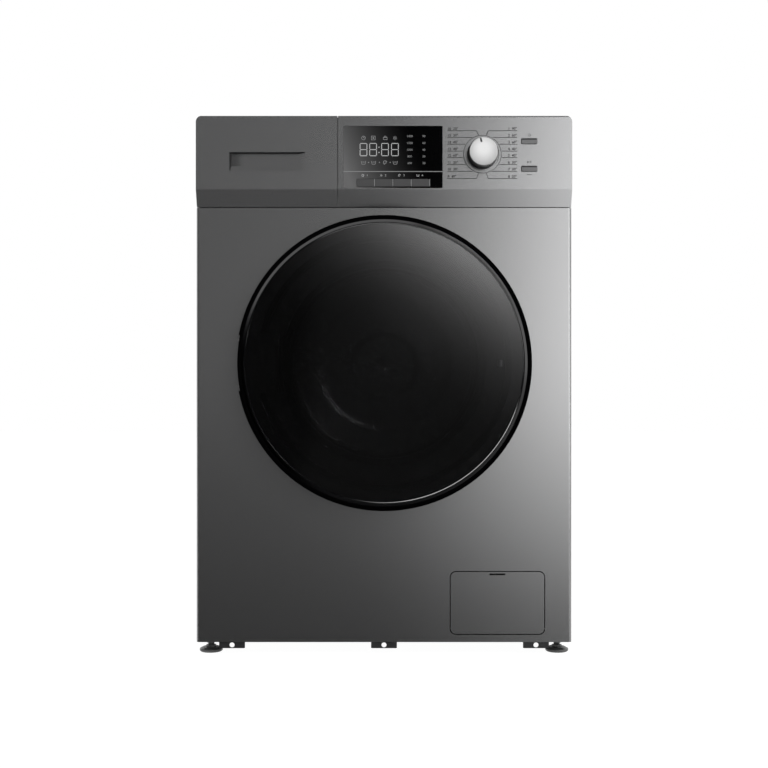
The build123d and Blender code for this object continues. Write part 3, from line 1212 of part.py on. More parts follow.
def door_inner_frame():
    """Moulded back of the door: flange, funnel, bowl seat, hinge pocket and hook ears."""
    wall, back = FRAME_WALL, FRAME_BACK
    outer = frame_radius()
    flange = DOOR_RADIUS - RING_CONE - RING_WALL - SEAT_GAP
    face = 3.5 + GLASS_THICK - DOOR_FRONT
    hole = BOWL_RADIUS + 2
    lip = BOWL_RADIUS + BOWL_FLANGE + 1
    envelope = [
        (hole, face), (flange, face), (flange, face + wall), (outer + 8, face + 2 * wall),
        (outer, -4), (outer, back, 2), (hole, back),
    ]
    hollow = [
        (hole - 1, face - 1), (outer + 4, face - 1), (outer - wall, -4 - wall / 2),
        (outer - wall, back - wall),
        (lip, back - wall), (lip, SEAT_GAP), (hole - 1, SEAT_GAP),
    ]
    solid = turned(envelope)
    frame = solid - turned(hollow)
    room = hinge_room(-DOOR_RADIUS - 1)
    front = -HINGE_PROUD - KNUCKLE_RADIUS - 1
    cup_x = (-DOOR_RADIUS, HINGE_X + HINGE_POCKET_REACH + wall)
    cup = block(cup_x, (front - 2, back), (AXIS_Z - POCKET_HALF - wall, AXIS_Z + POCKET_HALF + wall))
    frame = frame + (cup & solid) - room
    slot = Rectangle(2 * SLOT_HALF_WIDTH - 2, 2 * SLOT_HALF_HEIGHT - 4)
    frame -= front_slab(slot, HOOK_RADIUS_PLACE, AXIS_Z, (back - wall - 1, back + 1))
    ears = []
    for side in SIDES:
        ends = sorted((side * (HOOK_HALF + SEAT_GAP), side * (HOOK_HALF + SEAT_GAP + HOOK_EAR)))
        x = (HOOK_RADIUS_PLACE - HOOK_EAR - 1, HOOK_RADIUS_PLACE + HOOK_EAR + 1)
        ears.append(block(x, (-HOOK_PROUD - HOOK_EAR - 1, back - wall), (AXIS_Z + ends[0], AXIS_Z + ends[1])))
    bore = Pos(HOOK_RADIUS_PLACE, at(-HOOK_PROUD), AXIS_Z) * Cylinder(HOOK_STUB + RUNNING_GAP, 8 * HOOK_HALF)
    return frame + ears - bore


def door_bowl():
    """Deep glass bowl that keeps the wash in the drum, with a clamped flange."""
    rim, thick = BOWL_RADIUS, BOWL_THICK
    outline = [
        (0, BOWL_DEPTH), (BOWL_NOSE_RADIUS, BOWL_DEPTH - 6, 14), (rim - 4, 30, 20), (rim, 0),
        (rim + BOWL_FLANGE, 0),
        (rim + BOWL_FLANGE, -thick), (rim - thick, -thick, 2), (rim - 4 - thick, 30, 20),
        (BOWL_NOSE_RADIUS - thick, BOWL_DEPTH - 6 - thick, 10), (0, BOWL_DEPTH - thick),
    ]
    return turned(outline)


def knuckle_heights():
    """Height limits of the two bracket knuckles."""
    low, high = ARM_HALF + KNUCKLE_GAP, ARM_HALF + KNUCKLE_GAP + KNUCKLE_TALL
    return (AXIS_Z + low, AXIS_Z + high), (AXIS_Z - high, AXIS_Z - low)


def hinge_bracket():
    """Goose-necked steel bracket in the recess, with two knuckles for the pin."""
    thick = BRACKET_THICK
    floor = recess_radius(RECESS_DEPTH)
    half = ARM_HALF + KNUCKLE_GAP + KNUCKLE_TALL
    outer = -sqrt((floor - FRAME_ROOM) ** 2 - half ** 2)
    inner = -MOUTH_RADIUS - 2 * SHEET - 2
    plate = block((outer, inner), (RECESS_DEPTH - thick, RECESS_DEPTH), (AXIS_Z - half, AXIS_Z + half))
    neck = [
        (outer, RECESS_DEPTH), (outer, -thick + 1), (HINGE_X - 2, -HINGE_PROUD + KNUCKLE_RADIUS - 1),
        (HINGE_X, -HINGE_PROUD), (HINGE_X + KNUCKLE_RADIUS, -HINGE_PROUD - 1),
        (outer + thick, -2 * thick),
        (outer + thick, RECESS_DEPTH),
    ]
    bore = Pos(HINGE_X, at(-HINGE_PROUD), AXIS_Z) * Cylinder(PIN_RADIUS + RUNNING_GAP / 2, 4 * half)
    for limits in knuckle_heights():
        plate += plan_slab(neck, limits)
        tall = limits[1] - limits[0]
        plate += Pos(HINGE_X, at(-HINGE_PROUD), sum(limits) / 2) * Cylinder(KNUCKLE_RADIUS, tall)
    return plate - bore


def hinge_pin():
    """Headed steel pin through bracket and arm."""
    half = ARM_HALF + KNUCKLE_GAP + KNUCKLE_TALL
    place = Pos(HINGE_X, at(-HINGE_PROUD), AXIS_Z)
    pin = place * Cylinder(PIN_RADIUS, 2 * half)
    head = Cylinder(KNUCKLE_RADIUS - 1, 2)
    return pin + Pos(HINGE_X, at(-HINGE_PROUD), AXIS_Z + half + 1) * head


def hinge_arm():
    """Door's half of the hinge: one knuckle on a plate that lies on the inner frame."""
    seat = -HINGE_PROUD - KNUCKLE_RADIUS - 1
    place = Pos(HINGE_X, at(-HINGE_PROUD), AXIS_Z)
    arm = place * Cylinder(KNUCKLE_RADIUS, 2 * ARM_HALF)
    web = [
        (HINGE_X - 2, seat), (HINGE_X + HINGE_POCKET_REACH - 2, seat),
        (HINGE_X + HINGE_POCKET_REACH - 2, seat + ARM_THICK), (HINGE_X + 12, seat + ARM_THICK),
        (HINGE_X + 4, -HINGE_PROUD), (HINGE_X - 4, -HINGE_PROUD),
    ]
    arm += plan_slab(web, (AXIS_Z - ARM_HALF, AXIS_Z + ARM_HALF))
    wing = ((HINGE_X + 16, HINGE_X + HINGE_POCKET_REACH - 2), (seat, seat + ARM_THICK))
    arm += block(*wing, (AXIS_Z - POCKET_HALF + 2, AXIS_Z + POCKET_HALF - 2))
    return arm - place * Cylinder(PIN_RADIUS + RUNNING_GAP, 3 * ARM_HALF)


def latch_hook():
    """Sprung hook on stub axles that reaches through the front panel into the lock."""
    x, pivot = HOOK_RADIUS_PLACE, -HOOK_PROUD
    tip = pivot + HOOK_REACH
    outline = [
        (x - 3.5, pivot), (x - 3.5, tip - 3), (x + 1, tip), (x + 7, tip - 7), (x + 7, tip - 9),
        (x + 3, tip - 9),
        (x + 3.5, pivot),
    ]
    place = Pos(x, at(pivot), AXIS_Z)
    hook = plan_slab(outline, (AXIS_Z - HOOK_HALF, AXIS_Z + HOOK_HALF))
    hook += place * Cylinder(HOOK_EAR, 2 * HOOK_HALF)
    return hook + place * Cylinder(HOOK_STUB, 2 * (HOOK_HALF + SEAT_GAP + HOOK_EAR))


def door_lock():
    """Lock body behind the recess's floor, with the cavity that the hook enters."""
    front = RECESS_DEPTH + SHEET
    half = SLOT_HALF_WIDTH + LOCK_WALL
    x = (HOOK_RADIUS_PLACE - SLOT_HALF_WIDTH - 2, HOOK_RADIUS_PLACE + half)
    body = block(x, (front, front + LOCK_DEPTH), (AXIS_Z - LOCK_HALF_HEIGHT, AXIS_Z + LOCK_HALF_HEIGHT))
    cavity = Rectangle(2 * SLOT_HALF_WIDTH, 2 * SLOT_HALF_HEIGHT)
    body -= front_slab(cavity, HOOK_RADIUS_PLACE, AXIS_Z, (front - 1, front + LOCK_DEPTH - LOCK_WALL / 3))
    plug = ((x[0] + 12, x[1] - 2), (front + LOCK_DEPTH, front + LOCK_DEPTH + 8))
    return body + block(*plug, (AXIS_Z - LOCK_HALF_HEIGHT + 6, AXIS_Z - LOCK_HALF_HEIGHT + 22))


def band(points, thick):
    """Outline of a strip of even thickness along a line of points."""
    sides = ([], [])
    last = len(points) - 1
    for i, (r, d) in enumerate(points):
        runs = []
        for a, b in ((i - 1, i), (i, i + 1)):
            if a >= 0 and b <= last:
                run = (points[b][0] - points[a][0], points[b][1] - points[a][1])
                runs.append((run[0] / hypot(*run), run[1] / hypot(*run)))
        along = (sum(run[0] for run in runs), sum(run[1] for run in runs))
        normal = (along[1] / hypot(*along), -along[0] / hypot(*along))
        spread = thick / 2 / (normal[0] * runs[0][1] - normal[1] * runs[0][0])
        sides[0].append((r + normal[0] * spread, d + normal[1] * spread))
        sides[1].append((r - normal[0] * spread, d - normal[1] * spread))
    return sides[0] + sides[1][::-1]


def door_gasket():
    """Rubber bellows from the panel's rolled mouth to the tub's neck, with a sealing lip."""
    half = GASKET_THICK / 2
    grip = MOUTH_RADIUS - SEAT_GAP - half
    neck = TUB_NECK_RADIUS + TUB_WALL + SEAT_GAP + half
    start = RECESS_DEPTH + half
    lip_end = RECESS_DEPTH + LIP_DEPTH
    neck_end = TUB_FRONT - TUB_NECK
    line = [
        (GASKET_LIP, start + 9), (GASKET_LIP + 7, start + 2), (grip - 4, start), (grip, start + 4),
        (grip, lip_end + 8),
        (grip + GASKET_FOLD, lip_end + 17), (grip + GASKET_FOLD, lip_end + 23), (grip + 1, lip_end + 29),
        (grip + 1, lip_end + 33), (neck, neck_end - 6), (neck, TUB_FRONT - 2 * half),
    ]
    return turned(band(line, GASKET_THICK))


# Tub

def tub_spout_top():
    """Upper end of the spigot through which the dispenser fills the tub."""
    return AXIS_Z + sqrt(TUB_OUTER ** 2 - DRAWER_MIDDLE ** 2) + 3 * SPIGOT_LENGTH


def tub_bore(depth):
    """Cylinder of the tub's inside between two depths."""
    return rod(TUB_INNER, 0, AXIS_Z, depth)


def damper_eyes(depth):
    """Lugs on the tub for the dampers' upper pins."""
    eyes = []
    start = TUB_INNER
    for angle in (-DAMPER_TUB_ANGLE, DAMPER_TUB_ANGLE - 180):
        length = DAMPER_TOP_REACH - start
        slot = SlotCenterToCenter(length, 2 * DAMPER_EYE)
        lug = around_axis(polar(slot, angle, start + length / 2), depth)
        hole = around_axis(polar(Circle(DAMPER_PIN + RUNNING_GAP), angle, DAMPER_TOP_REACH),
                           (depth[0] - 1, depth[1] + 1))
        eyes.append(lug - hole)
    return eyes


def tub_front():
    """Front half of the tub: mouth collar, joint flange, sump, damper eyes and fill spigot."""
    front, split = TUB_FRONT, TUB_SPLIT
    neck = TUB_NECK_RADIUS
    outline = [
        (neck, front - TUB_NECK), (neck + TUB_WALL, front - TUB_NECK), (neck + TUB_WALL, front),
        (TUB_OUTER, front, 10), (TUB_OUTER, split - TUB_FLANGE_THICK),
        (TUB_OUTER + TUB_FLANGE, split - TUB_FLANGE_THICK), (TUB_OUTER + TUB_FLANGE, split),
        (neck, split),
    ]
    tub = turned(outline)
    sump_depth = (SUMP_FRONT, SUMP_FRONT + SUMP_LENGTH)
    wall = TUB_WALL
    tub += block((-SUMP_HALF - wall, SUMP_HALF + wall), (sump_depth[0] - wall, sump_depth[1] + wall),
                 (SUMP_FLOOR - wall, AXIS_Z - neck))
    tub += damper_eyes((DAMPER_DEPTH - LUG_THICK, DAMPER_DEPTH))
    spout = (DRAWER_MIDDLE, HOUSING_FRONT + HOUSING_LENGTH / 2 + SPIGOT_LENGTH)
    tub += Pos(spout[0], at(spout[1]), (tub_spout_top() + AXIS_Z) / 2) * Cylinder(
        SPIGOT_RADIUS, tub_spout_top() - AXIS_Z
    )
    middle = at(sum(sump_depth) / 2)
    tub += Pos(0, middle, SUMP_FLOOR - wall - PUMP_SPIGOT / 2) * Cylinder(PUMP_INLET, PUMP_SPIGOT)
    tub -= tub_bore((front + wall, split + 1))
    tub -= block((-SUMP_HALF, SUMP_HALF), sump_depth, (SUMP_FLOOR, AXIS_Z))
    tub -= Pos(spout[0], at(spout[1]), AXIS_Z + TUB_OUTER / 2) * Cylinder(SPIGOT_RADIUS - 3, TUB_OUTER)
    tub -= Pos(0, middle, SUMP_FLOOR - wall) * Cylinder(PUMP_INLET - 3, 4 * PUMP_SPIGOT)
    return tub - heater_plate(SEAT_GAP)


def heater_z():
    """Height of the heater's loop in the sump."""
    return SUMP_FLOOR + HEATER_RADIUS * 2.5


def heater_plate(grow):
    """Sealed plate of the heater in the sump's front wall, larger by grow all round."""
    plate = RectangleRounded(2 * (HEATER_HALF + 9 + grow), 4 * (HEATER_RADIUS + grow), HEATER_RADIUS)
    return front_slab(plate, 0, heater_z(), (SUMP_FRONT - TUB_WALL - 3, SUMP_FRONT + 3))


def heater():
    """Bent tubular heater that lies in the sump, with its plate and two terminals."""
    far = SUMP_FRONT + SUMP_LENGTH - 14
    z = heater_z()
    near = SUMP_FRONT - TUB_WALL - 12
    path = hose_path([(-HEATER_HALF, near, z), (-HEATER_HALF, far, z), (HEATER_HALF, far, z),
                      (HEATER_HALF, near, z)], HEATER_HALF - 4)
    loop = sweep(Plane(path @ 0, z_dir=path % 0) * Circle(HEATER_RADIUS), path=path)
    return heater_plate(0) + loop


def spring_ear(side):
    """Ledge on the tub that a suspension spring hooks under."""
    x = sorted((side * (TUB_INNER / 2), side * (SPRING_X + EAR_HALF)))
    ear = block(x, (SPRING_DEPTH - EAR_HALF, SPRING_DEPTH + EAR_HALF), (EAR_Z - EAR_THICK, EAR_Z))
    hole = Cylinder(HANGER_RADIUS + SEAT_GAP, 4 * EAR_THICK)
    return ear - Pos(side * SPRING_X, at(SPRING_DEPTH), EAR_Z) * hole


def tub_rear():
    """Rear half of the tub: ribbed wall, bearing hub and spring ears."""
    split, back = TUB_SPLIT, TUB_BACK
    outline = [
        (0, split), (TUB_OUTER + TUB_FLANGE, split), (TUB_OUTER + TUB_FLANGE, split + TUB_FLANGE_THICK),
        (TUB_OUTER, split + TUB_FLANGE_THICK), (TUB_OUTER, back + TUB_WALL, 10), (0, back + TUB_WALL),
    ]
    tub = turned(outline)
    tub += [spring_ear(side) for side in SIDES]
    tub -= tub_bore((split - 1, back))
    hub_end = hub_steps()[-1]
    tub += rod(HUB_RADIUS, 0, AXIS_Z, (HUB_START, hub_end))
    length = TUB_OUTER - HUB_RADIUS
    for i in range(RIB_COUNT):
        rib = polar(Rectangle(length, RIB_THICK), 360 / RIB_COUNT * (i + 0.5), HUB_RADIUS + length / 2 - 4)
        tub += around_axis(rib, (back + TUB_WALL / 2, back + TUB_WALL + RIB_TALL))
    return tub - hub_bore()


def hub_steps():
    """Depths of seal, front bearing, spacer, rear bearing and the hub's end."""
    seal = HUB_START
    front = seal + SEAL_WIDTH
    spacer = front + FRONT_BEARING_WIDTH
    rear = spacer + BEARING_SPACE
    return seal, front, spacer, rear, rear + REAR_BEARING_WIDTH


def hub_bore():
    """Stepped bore of the tub's hub."""
    seal, front, spacer, rear, end = hub_steps()
    gap = RUNNING_GAP
    spacer_radius = REAR_BEARING_RADIUS - 5
    outline = [
        (0, seal - 1), (FRONT_BEARING_RADIUS + gap, seal - 1), (FRONT_BEARING_RADIUS + gap, spacer),
        (spacer_radius, spacer),
        (spacer_radius, rear), (REAR_BEARING_RADIUS + gap, rear),
        (REAR_BEARING_RADIUS + gap, end + 1), (0, end + 1),
    ]
    return turned(outline)


def ring_bearing(inner, outer, start, width):
    """Shielded ball bearing: race edges stand proud of a sunk shield on both faces."""
    race = (outer - inner) / 4
    sunk = 0.8
    end = start + width
    outline = [
        (inner, start), (inner + race, start), (inner + race, start + sunk), (outer - race, start + sunk),
        (outer - race, start), (outer, start), (outer, end), (outer - race, end),
        (outer - race, end - sunk),
        (inner + race, end - sunk), (inner + race, end), (inner, end),
    ]
    return turned(outline)


def bearings():
    """Front and rear bearing and the lip seal ahead of them."""
    seal, front, spacer, rear, end = hub_steps()
    gap = RUNNING_GAP
    lip = [
        (SHAFT_RADIUS + gap, seal + 2), (SHAFT_RADIUS + 4, seal), (FRONT_BEARING_RADIUS, seal),
        (FRONT_BEARING_RADIUS, front - SEAT_GAP), (SHAFT_RADIUS + 4, front - SEAT_GAP),
        (SHAFT_RADIUS + gap, front - 3),
    ]
    return Compound(children=[
        turned(lip),
        ring_bearing(SHAFT_RADIUS + gap, FRONT_BEARING_RADIUS, front, FRONT_BEARING_WIDTH),
        ring_bearing(SHAFT_END_RADIUS + gap, REAR_BEARING_RADIUS, rear, REAR_BEARING_WIDTH),
    ])


def counterweights():
    """Two cast crescents bolted to the tub's front wall, above and below the mouth."""
    inner = TUB_NECK_RADIUS + TUB_WALL + WEIGHT_ROOM
    crescents = []
    for middle in (90, -90):
        ring = Circle(TUB_OUTER) - Circle(inner)
        reach = 2 * TUB_OUTER
        sweep_half = radians(WEIGHT_ANGLE)
        wedge = make_face(Polyline((0, 0), (reach * cos(sweep_half), reach * sin(sweep_half)), (reach * 2, 0),
                                   (reach * cos(sweep_half), -reach * sin(sweep_half)), close=True))
        crescents.append(around_axis(ring & (Rot(0, 0, middle) * wedge), (WEIGHT_FRONT, TUB_FRONT)))
    return Compound(children=crescents)


# Drum

def drum_shell():
    """Drum: dished front ring with a rolled mouth, wall, and a back with a raised hub."""
    front, back, wall = DRUM_FRONT, DRUM_BACK, DRUM_WALL
    radius, mouth, hub = DRUM_RADIUS, DRUM_MOUTH, DRUM_HUB
    outline = [
        (mouth, front + 8), (mouth, front, 3), (radius - 12, front + 4, 6), (radius, front + 16, 4),
        (radius, back, 8),
        (hub + 6, back, 3), (hub - 2, back - 8, 3), (0, back - 8), (0, back - 8 - wall),
        (hub - 2, back - 8 - wall, 3),
        (hub + 6, back - wall, 3), (radius - wall, back - wall, 7), (radius - wall, front + 17, 3),
        (radius - 13, front + 5, 5), (mouth + wall, front + wall, 2), (mouth + wall, front + 8),
    ]
    return turned(outline)


def drum_lifters():
    """Three hollow-looking paddles that stand in from the drum's wall."""
    base = DRUM_RADIUS - DRUM_WALL
    depth = (DRUM_FRONT + LIFTER_MARGIN, DRUM_BACK - LIFTER_MARGIN)
    section = filleted([
        (LIFTER_BASE / 2, base + 2), (LIFTER_TOP / 2, base - LIFTER_HEIGHT, 9),
        (-LIFTER_TOP / 2, base - LIFTER_HEIGHT, 9), (-LIFTER_BASE / 2, base + 2),
    ])
    wall = rod(base - SEAT_GAP, 0, AXIS_Z, depth)
    paddles = []
    for i in range(LIFTER_COUNT):
        turn = Rot(0, 0, 360 / LIFTER_COUNT * i + 30)
        paddle = around_axis(turn * section, depth) & wall
        paddles.append(paddle)
    return Compound(children=paddles)


def drum_spider():
    """Cast three-armed cross on the drum's back, with ribbed arms and a hub for the shaft."""
    near, far = DRUM_BACK, DRUM_BACK + SPIDER_THICK
    tip = DRUM_RADIUS - 2 * SPIDER_RIB
    spider = rod(SPIDER_HUB, 0, AXIS_Z, (near, HUB_START - 2))
    for i in range(LIFTER_COUNT):
        turn = Rot(0, 0, 360 / LIFTER_COUNT * i + 30 + 180)
        arm = make_face(Polyline((0, -SPIDER_ROOT / 2), (tip, -SPIDER_TIP / 2), (tip, SPIDER_TIP / 2),
                                 (0, SPIDER_ROOT / 2), close=True))
        spider += around_axis(turn * arm, (near, HUB_START - 2))
        groove_start, groove_end = SPIDER_HUB + SPIDER_RIB, tip - SPIDER_RIB
        groove = SlotCenterToCenter(groove_end - groove_start - SPIDER_TIP, SPIDER_TIP - 2 * SPIDER_RIB)
        middle = (groove_start + groove_end) / 2
        spider -= around_axis(turn * Pos(middle, 0) * groove, (near + SPIDER_RIB, far + 1))
    return spider - rod(SHAFT_RADIUS + RUNNING_GAP, 0, AXIS_Z, (near - 1, far + 1))


def drum_shaft():
    """Stepped shaft pressed into the spider, with the pulley's bolt at its end."""
    step = hub_steps()[2]
    end = PULLEY_FRONT + PULLEY_WIDTH
    outline = [
        (0, DRUM_BACK + SEAT_GAP), (SHAFT_RADIUS, DRUM_BACK + SEAT_GAP), (SHAFT_RADIUS, step),
        (SHAFT_END_RADIUS, step),
        (SHAFT_END_RADIUS, end), (0, end),
    ]
    bolt = front_slab(RegularPolygon(SHAFT_END_RADIUS - 3, 6), 0, AXIS_Z, (end, end + 6))
    return turned(outline) + bolt


def drum_pulley():
    """Cast pulley: lipped rim, six spokes and a hub on the shaft's end."""
    start, end = PULLEY_FRONT, PULLEY_FRONT + PULLEY_WIDTH
    radius, inner = PULLEY_RADIUS, PULLEY_RADIUS - PULLEY_RIM
    lip = radius + PULLEY_LIP
    rim = turned([
        (inner, start), (lip, start), (lip, start + 1.5), (radius, start + 1.5), (radius, end - 1.5),
        (lip, end - 1.5),
        (lip, end), (inner, end),
    ])
    pulley = rim + rod(PULLEY_HUB, 0, AXIS_Z, (start, end))
    middle = (start + end) / 2
    length = inner - PULLEY_HUB + 4
    for i in range(SPOKE_COUNT):
        spoke = polar(Rectangle(length, SPOKE_WIDTH), 360 / SPOKE_COUNT * i, PULLEY_HUB + length / 2 - 2)
        pulley += around_axis(spoke, (middle - SPOKE_THICK / 2, middle + SPOKE_THICK / 2))
    return pulley - rod(SHAFT_END_RADIUS + RUNNING_GAP, 0, AXIS_Z, (start - 1, end + 1))


# Drive

def motor():
    """Motor under the tub: finned stator, end shields, bracket to the tub and bearing bore."""
    start, end = MOTOR_FRONT, MOTOR_FRONT + MOTOR_LENGTH
    radius = MOTOR_RADIUS
    outline = [
        (MOTOR_SHAFT + RUNNING_GAP, start + 20), (MOTOR_SHAFT + RUNNING_GAP, end + 8),
        (radius / 3, end + 8),
        (radius / 3, end), (radius - 12, end, 5), (radius - 8, end - 38), (radius, end - 38),
        (radius, start + 36),
        (radius - 8, start + 36), (radius - 12, start, 5), (0, start), (0, start + 20),
    ]
    body = turned(outline, MOTOR_X, MOTOR_Z)
    away = 270 - MOTOR_ANGLE
    length = MOTOR_REACH - TUB_INNER
    middle = (start + end) / 2
    plate = polar(Rectangle(length, BRACKET_WIDTH), away, TUB_INNER + length / 2)
    bracket = around_axis(plate, (middle - BRACKET_LENGTH / 2, middle + BRACKET_LENGTH / 2))
    bracket -= rod(TUB_OUTER + SEAT_GAP, 0, AXIS_Z, (start, end))
    bracket -= rod(radius - 2, MOTOR_X, MOTOR_Z, (start, end))
    return body + bracket


def motor_pulley():
    """Motor shaft with its small lipped pulley."""
    start, end = PULLEY_FRONT, PULLEY_FRONT + PULLEY_WIDTH
    radius, lip = MOTOR_PULLEY_RADIUS, MOTOR_PULLEY_RADIUS + PULLEY_LIP
    shaft = MOTOR_FRONT + 22
    outline = [
        (0, shaft), (MOTOR_SHAFT, shaft), (MOTOR_SHAFT, start), (lip, start), (lip, start + 1.5),
        (radius, start + 1.5),
        (radius, end - 1.5), (lip, end - 1.5), (lip, end), (0, end),
    ]
    return turned(outline, MOTOR_X, MOTOR_Z)


def belt_loop(grow):
    """Outline of the belt round both pulleys, standing off them by grow."""
    big, small = PULLEY_RADIUS + grow, MOTOR_PULLEY_RADIUS + grow
    away = hypot(MOTOR_X, MOTOR_Z - AXIS_Z)
    lean = degrees(acos((big - small) / away))
    toward = degrees(atan2(MOTOR_Z - AXIS_Z, MOTOR_X))
    sides = []
    for sign in SIDES:
        angle = radians(toward + sign * lean)
        near = (big * cos(angle), big * sin(angle))
        far = (MOTOR_X + small * cos(angle), MOTOR_Z - AXIS_Z + small * sin(angle))
        sides.append((near, far))
    between = make_face(Polyline(sides[0][0], sides[0][1], sides[1][1], sides[1][0], close=True))
    return Circle(big) + Pos(MOTOR_X, MOTOR_Z - AXIS_Z) * Circle(small) + between


def drive_belt():
    """Flat ribbed belt round the drum pulley and the motor pulley."""
    middle = PULLEY_FRONT + PULLEY_WIDTH / 2
    loop = belt_loop(SEAT_GAP + BELT_THICK) - belt_loop(SEAT_GAP)
    return around_axis(loop, (middle - BELT_WIDTH / 2, middle + BELT_WIDTH / 2))


# Suspension

def suspension_springs():
    """Two hanging springs between top rails and tub ears, each with hanger ends."""
    low, high = EAR_Z + 14, RAIL_BOTTOM - 14
    pitch = (high - low) / (2 * SPRING_TURNS)
    radii = (SPRING_RADIUS, SPRING_RADIUS - SPRING_WIRE)
    coils = [(radii[i % 2], low + pitch * i) for i in range(2 * SPRING_TURNS + 1)]
    top_seat, ear_seat = RAIL_BOTTOM + RAIL_SHEET + SEAT_GAP, EAR_Z - EAR_THICK - SEAT_GAP
    ball = HANGER_BALL
    outline = [
        (0, ear_seat - ball), (ball - 2, ear_seat - ball), (ball, ear_seat - 3), (ball, ear_seat),
        (HANGER_RADIUS, ear_seat), (HANGER_RADIUS, low), *coils, (HANGER_RADIUS, high),
        (HANGER_RADIUS, top_seat),
        (ball, top_seat), (ball, top_seat + 3), (ball - 2, top_seat + ball), (0, top_seat + ball),
    ]
    return Compound(children=[upright(outline, side * SPRING_X, SPRING_DEPTH) for side in SIDES])


def damper(side):
    """Friction damper leaning from the base frame's lug to the tub's eye."""
    run = (side * (DAMPER_TOP_X - DAMPER_BASE_X), DAMPER_TOP_Z - DAMPER_BASE_Z)
    length = hypot(*run)
    lean = degrees(atan2(run[0], run[1]))
    half_way = length * 0.55
    outline = [
        (0, 0), (DAMPER_ROD, 0), (DAMPER_TUBE - 3, DAMPER_EYE + 4), (DAMPER_TUBE, DAMPER_EYE + 8),
        (DAMPER_TUBE, half_way), (DAMPER_TUBE - 4, half_way + 5), (DAMPER_ROD, half_way + 5),
        (DAMPER_ROD, length),
        (0, length),
    ]
    strut = revolve(Plane.XZ * filleted(outline), Axis.Z)
    along_y = Rot(90, 0, 0)
    middle = SEAT_GAP + DAMPER_EYE_THICK / 2
    pin_length = LUG_THICK + SEAT_GAP + DAMPER_EYE_THICK
    for height in (0, length):
        strut += Pos(0, 0, height) * along_y * Cylinder(DAMPER_EYE, DAMPER_EYE_THICK)
        pin = Pos(0, -middle + pin_length / 2 - LUG_THICK, height) * along_y
        strut += pin * Cylinder(DAMPER_PIN, pin_length)
    place = Pos(side * DAMPER_BASE_X, at(DAMPER_DEPTH + middle), DAMPER_BASE_Z)
    return place * Rot(0, lean, 0) * strut


def dampers():
    """Left and right damper."""
    return Compound(children=[damper(side) for side in SIDES])


def nodes():
    """Every piece by its name."""
    pieces = {
        "base_frame": base_frame(),
        "side_panel_left": side_panel(-1),
        "side_panel_right": side_panel(1),
        "rear_panel": rear_panel(),
        "rear_access_cover": rear_access_cover(),
        "front_panel": front_panel(),
        "top_panel": top_panel(),
        "top_frame": top_frame(),
        "cabinet_screws": cabinet_screws(),
        "rear_plugs": rear_plugs(),
        "control_panel": control_panel(),
        "display_window": display_window(),
        "control_board": control_board(),
        "programme_knob": programme_knob(),
        "power_button": push_button(KEY_X, POWER_Z, KEY_WIDTH, KEY_HEIGHT, KEY_PROUD),
        "start_button": push_button(KEY_X, START_Z, KEY_WIDTH, KEY_HEIGHT, KEY_PROUD),
        "drawer_front": drawer_front(),
        "drawer_tray": drawer_tray(),
        "siphon_cap": siphon_cap(),
        "dispenser_housing": dispenser_housing(),
        "inlet_valve": inlet_valve(),
        "drain_outlet": drain_outlet(),
        "drain_pump": drain_pump(),
        "pump_filter": pump_filter(),
        "filter_surround": filter_surround(),
        "filter_flap": filter_flap(),
        "internal_hoses": internal_hoses(),
        "door_ring": door_ring(),
        "door_glass": door_glass(),
        "door_inner_frame": door_inner_frame(),
        "door_bowl": door_bowl(),
        "door_gasket": door_gasket(),
        "hinge_bracket": hinge_bracket(),
        "hinge_pin": hinge_pin(),
        "hinge_arm": hinge_arm(),
        "latch_hook": latch_hook(),
        "door_lock": door_lock(),
        "tub_front": tub_front(),
        "tub_rear": tub_rear(),
        "counterweights": counterweights(),
        "heater": heater(),
        "bearings": bearings(),
        "drum_shell": drum_shell(),
        "drum_lifters": drum_lifters(),
        "drum_spider": drum_spider(),
        "drum_shaft": drum_shaft(),
        "drum_pulley": drum_pulley(),
        "motor": motor(),
        "motor_pulley": motor_pulley(),
        "drive_belt": drive_belt(),
        "suspension_springs": suspension_springs(),
        "dampers": dampers(),
    }
    for i, x in enumerate(OPTION_PLACES):
        pieces[f"option_button_{i + 1}"] = push_button(x, OPTION_Z, OPTION_WIDTH, OPTION_HEIGHT, OPTION_PROUD)
    corners = ("front_left", "front_right", "rear_left", "rear_right")
    for corner, (x, depth) in zip(corners, foot_places()):
        pieces[f"foot_{corner}"] = foot(x, depth)
    return pieces


os.makedirs("parts", exist_ok=True)
for name, shape in nodes().items():
    export_step(shape, f"parts/{name}.step")
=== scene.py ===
import json
import math

import bmesh
import bpy
from bpy.props import FloatProperty, FloatVectorProperty, IntProperty, PointerProperty
from mathutils import Matrix, Vector


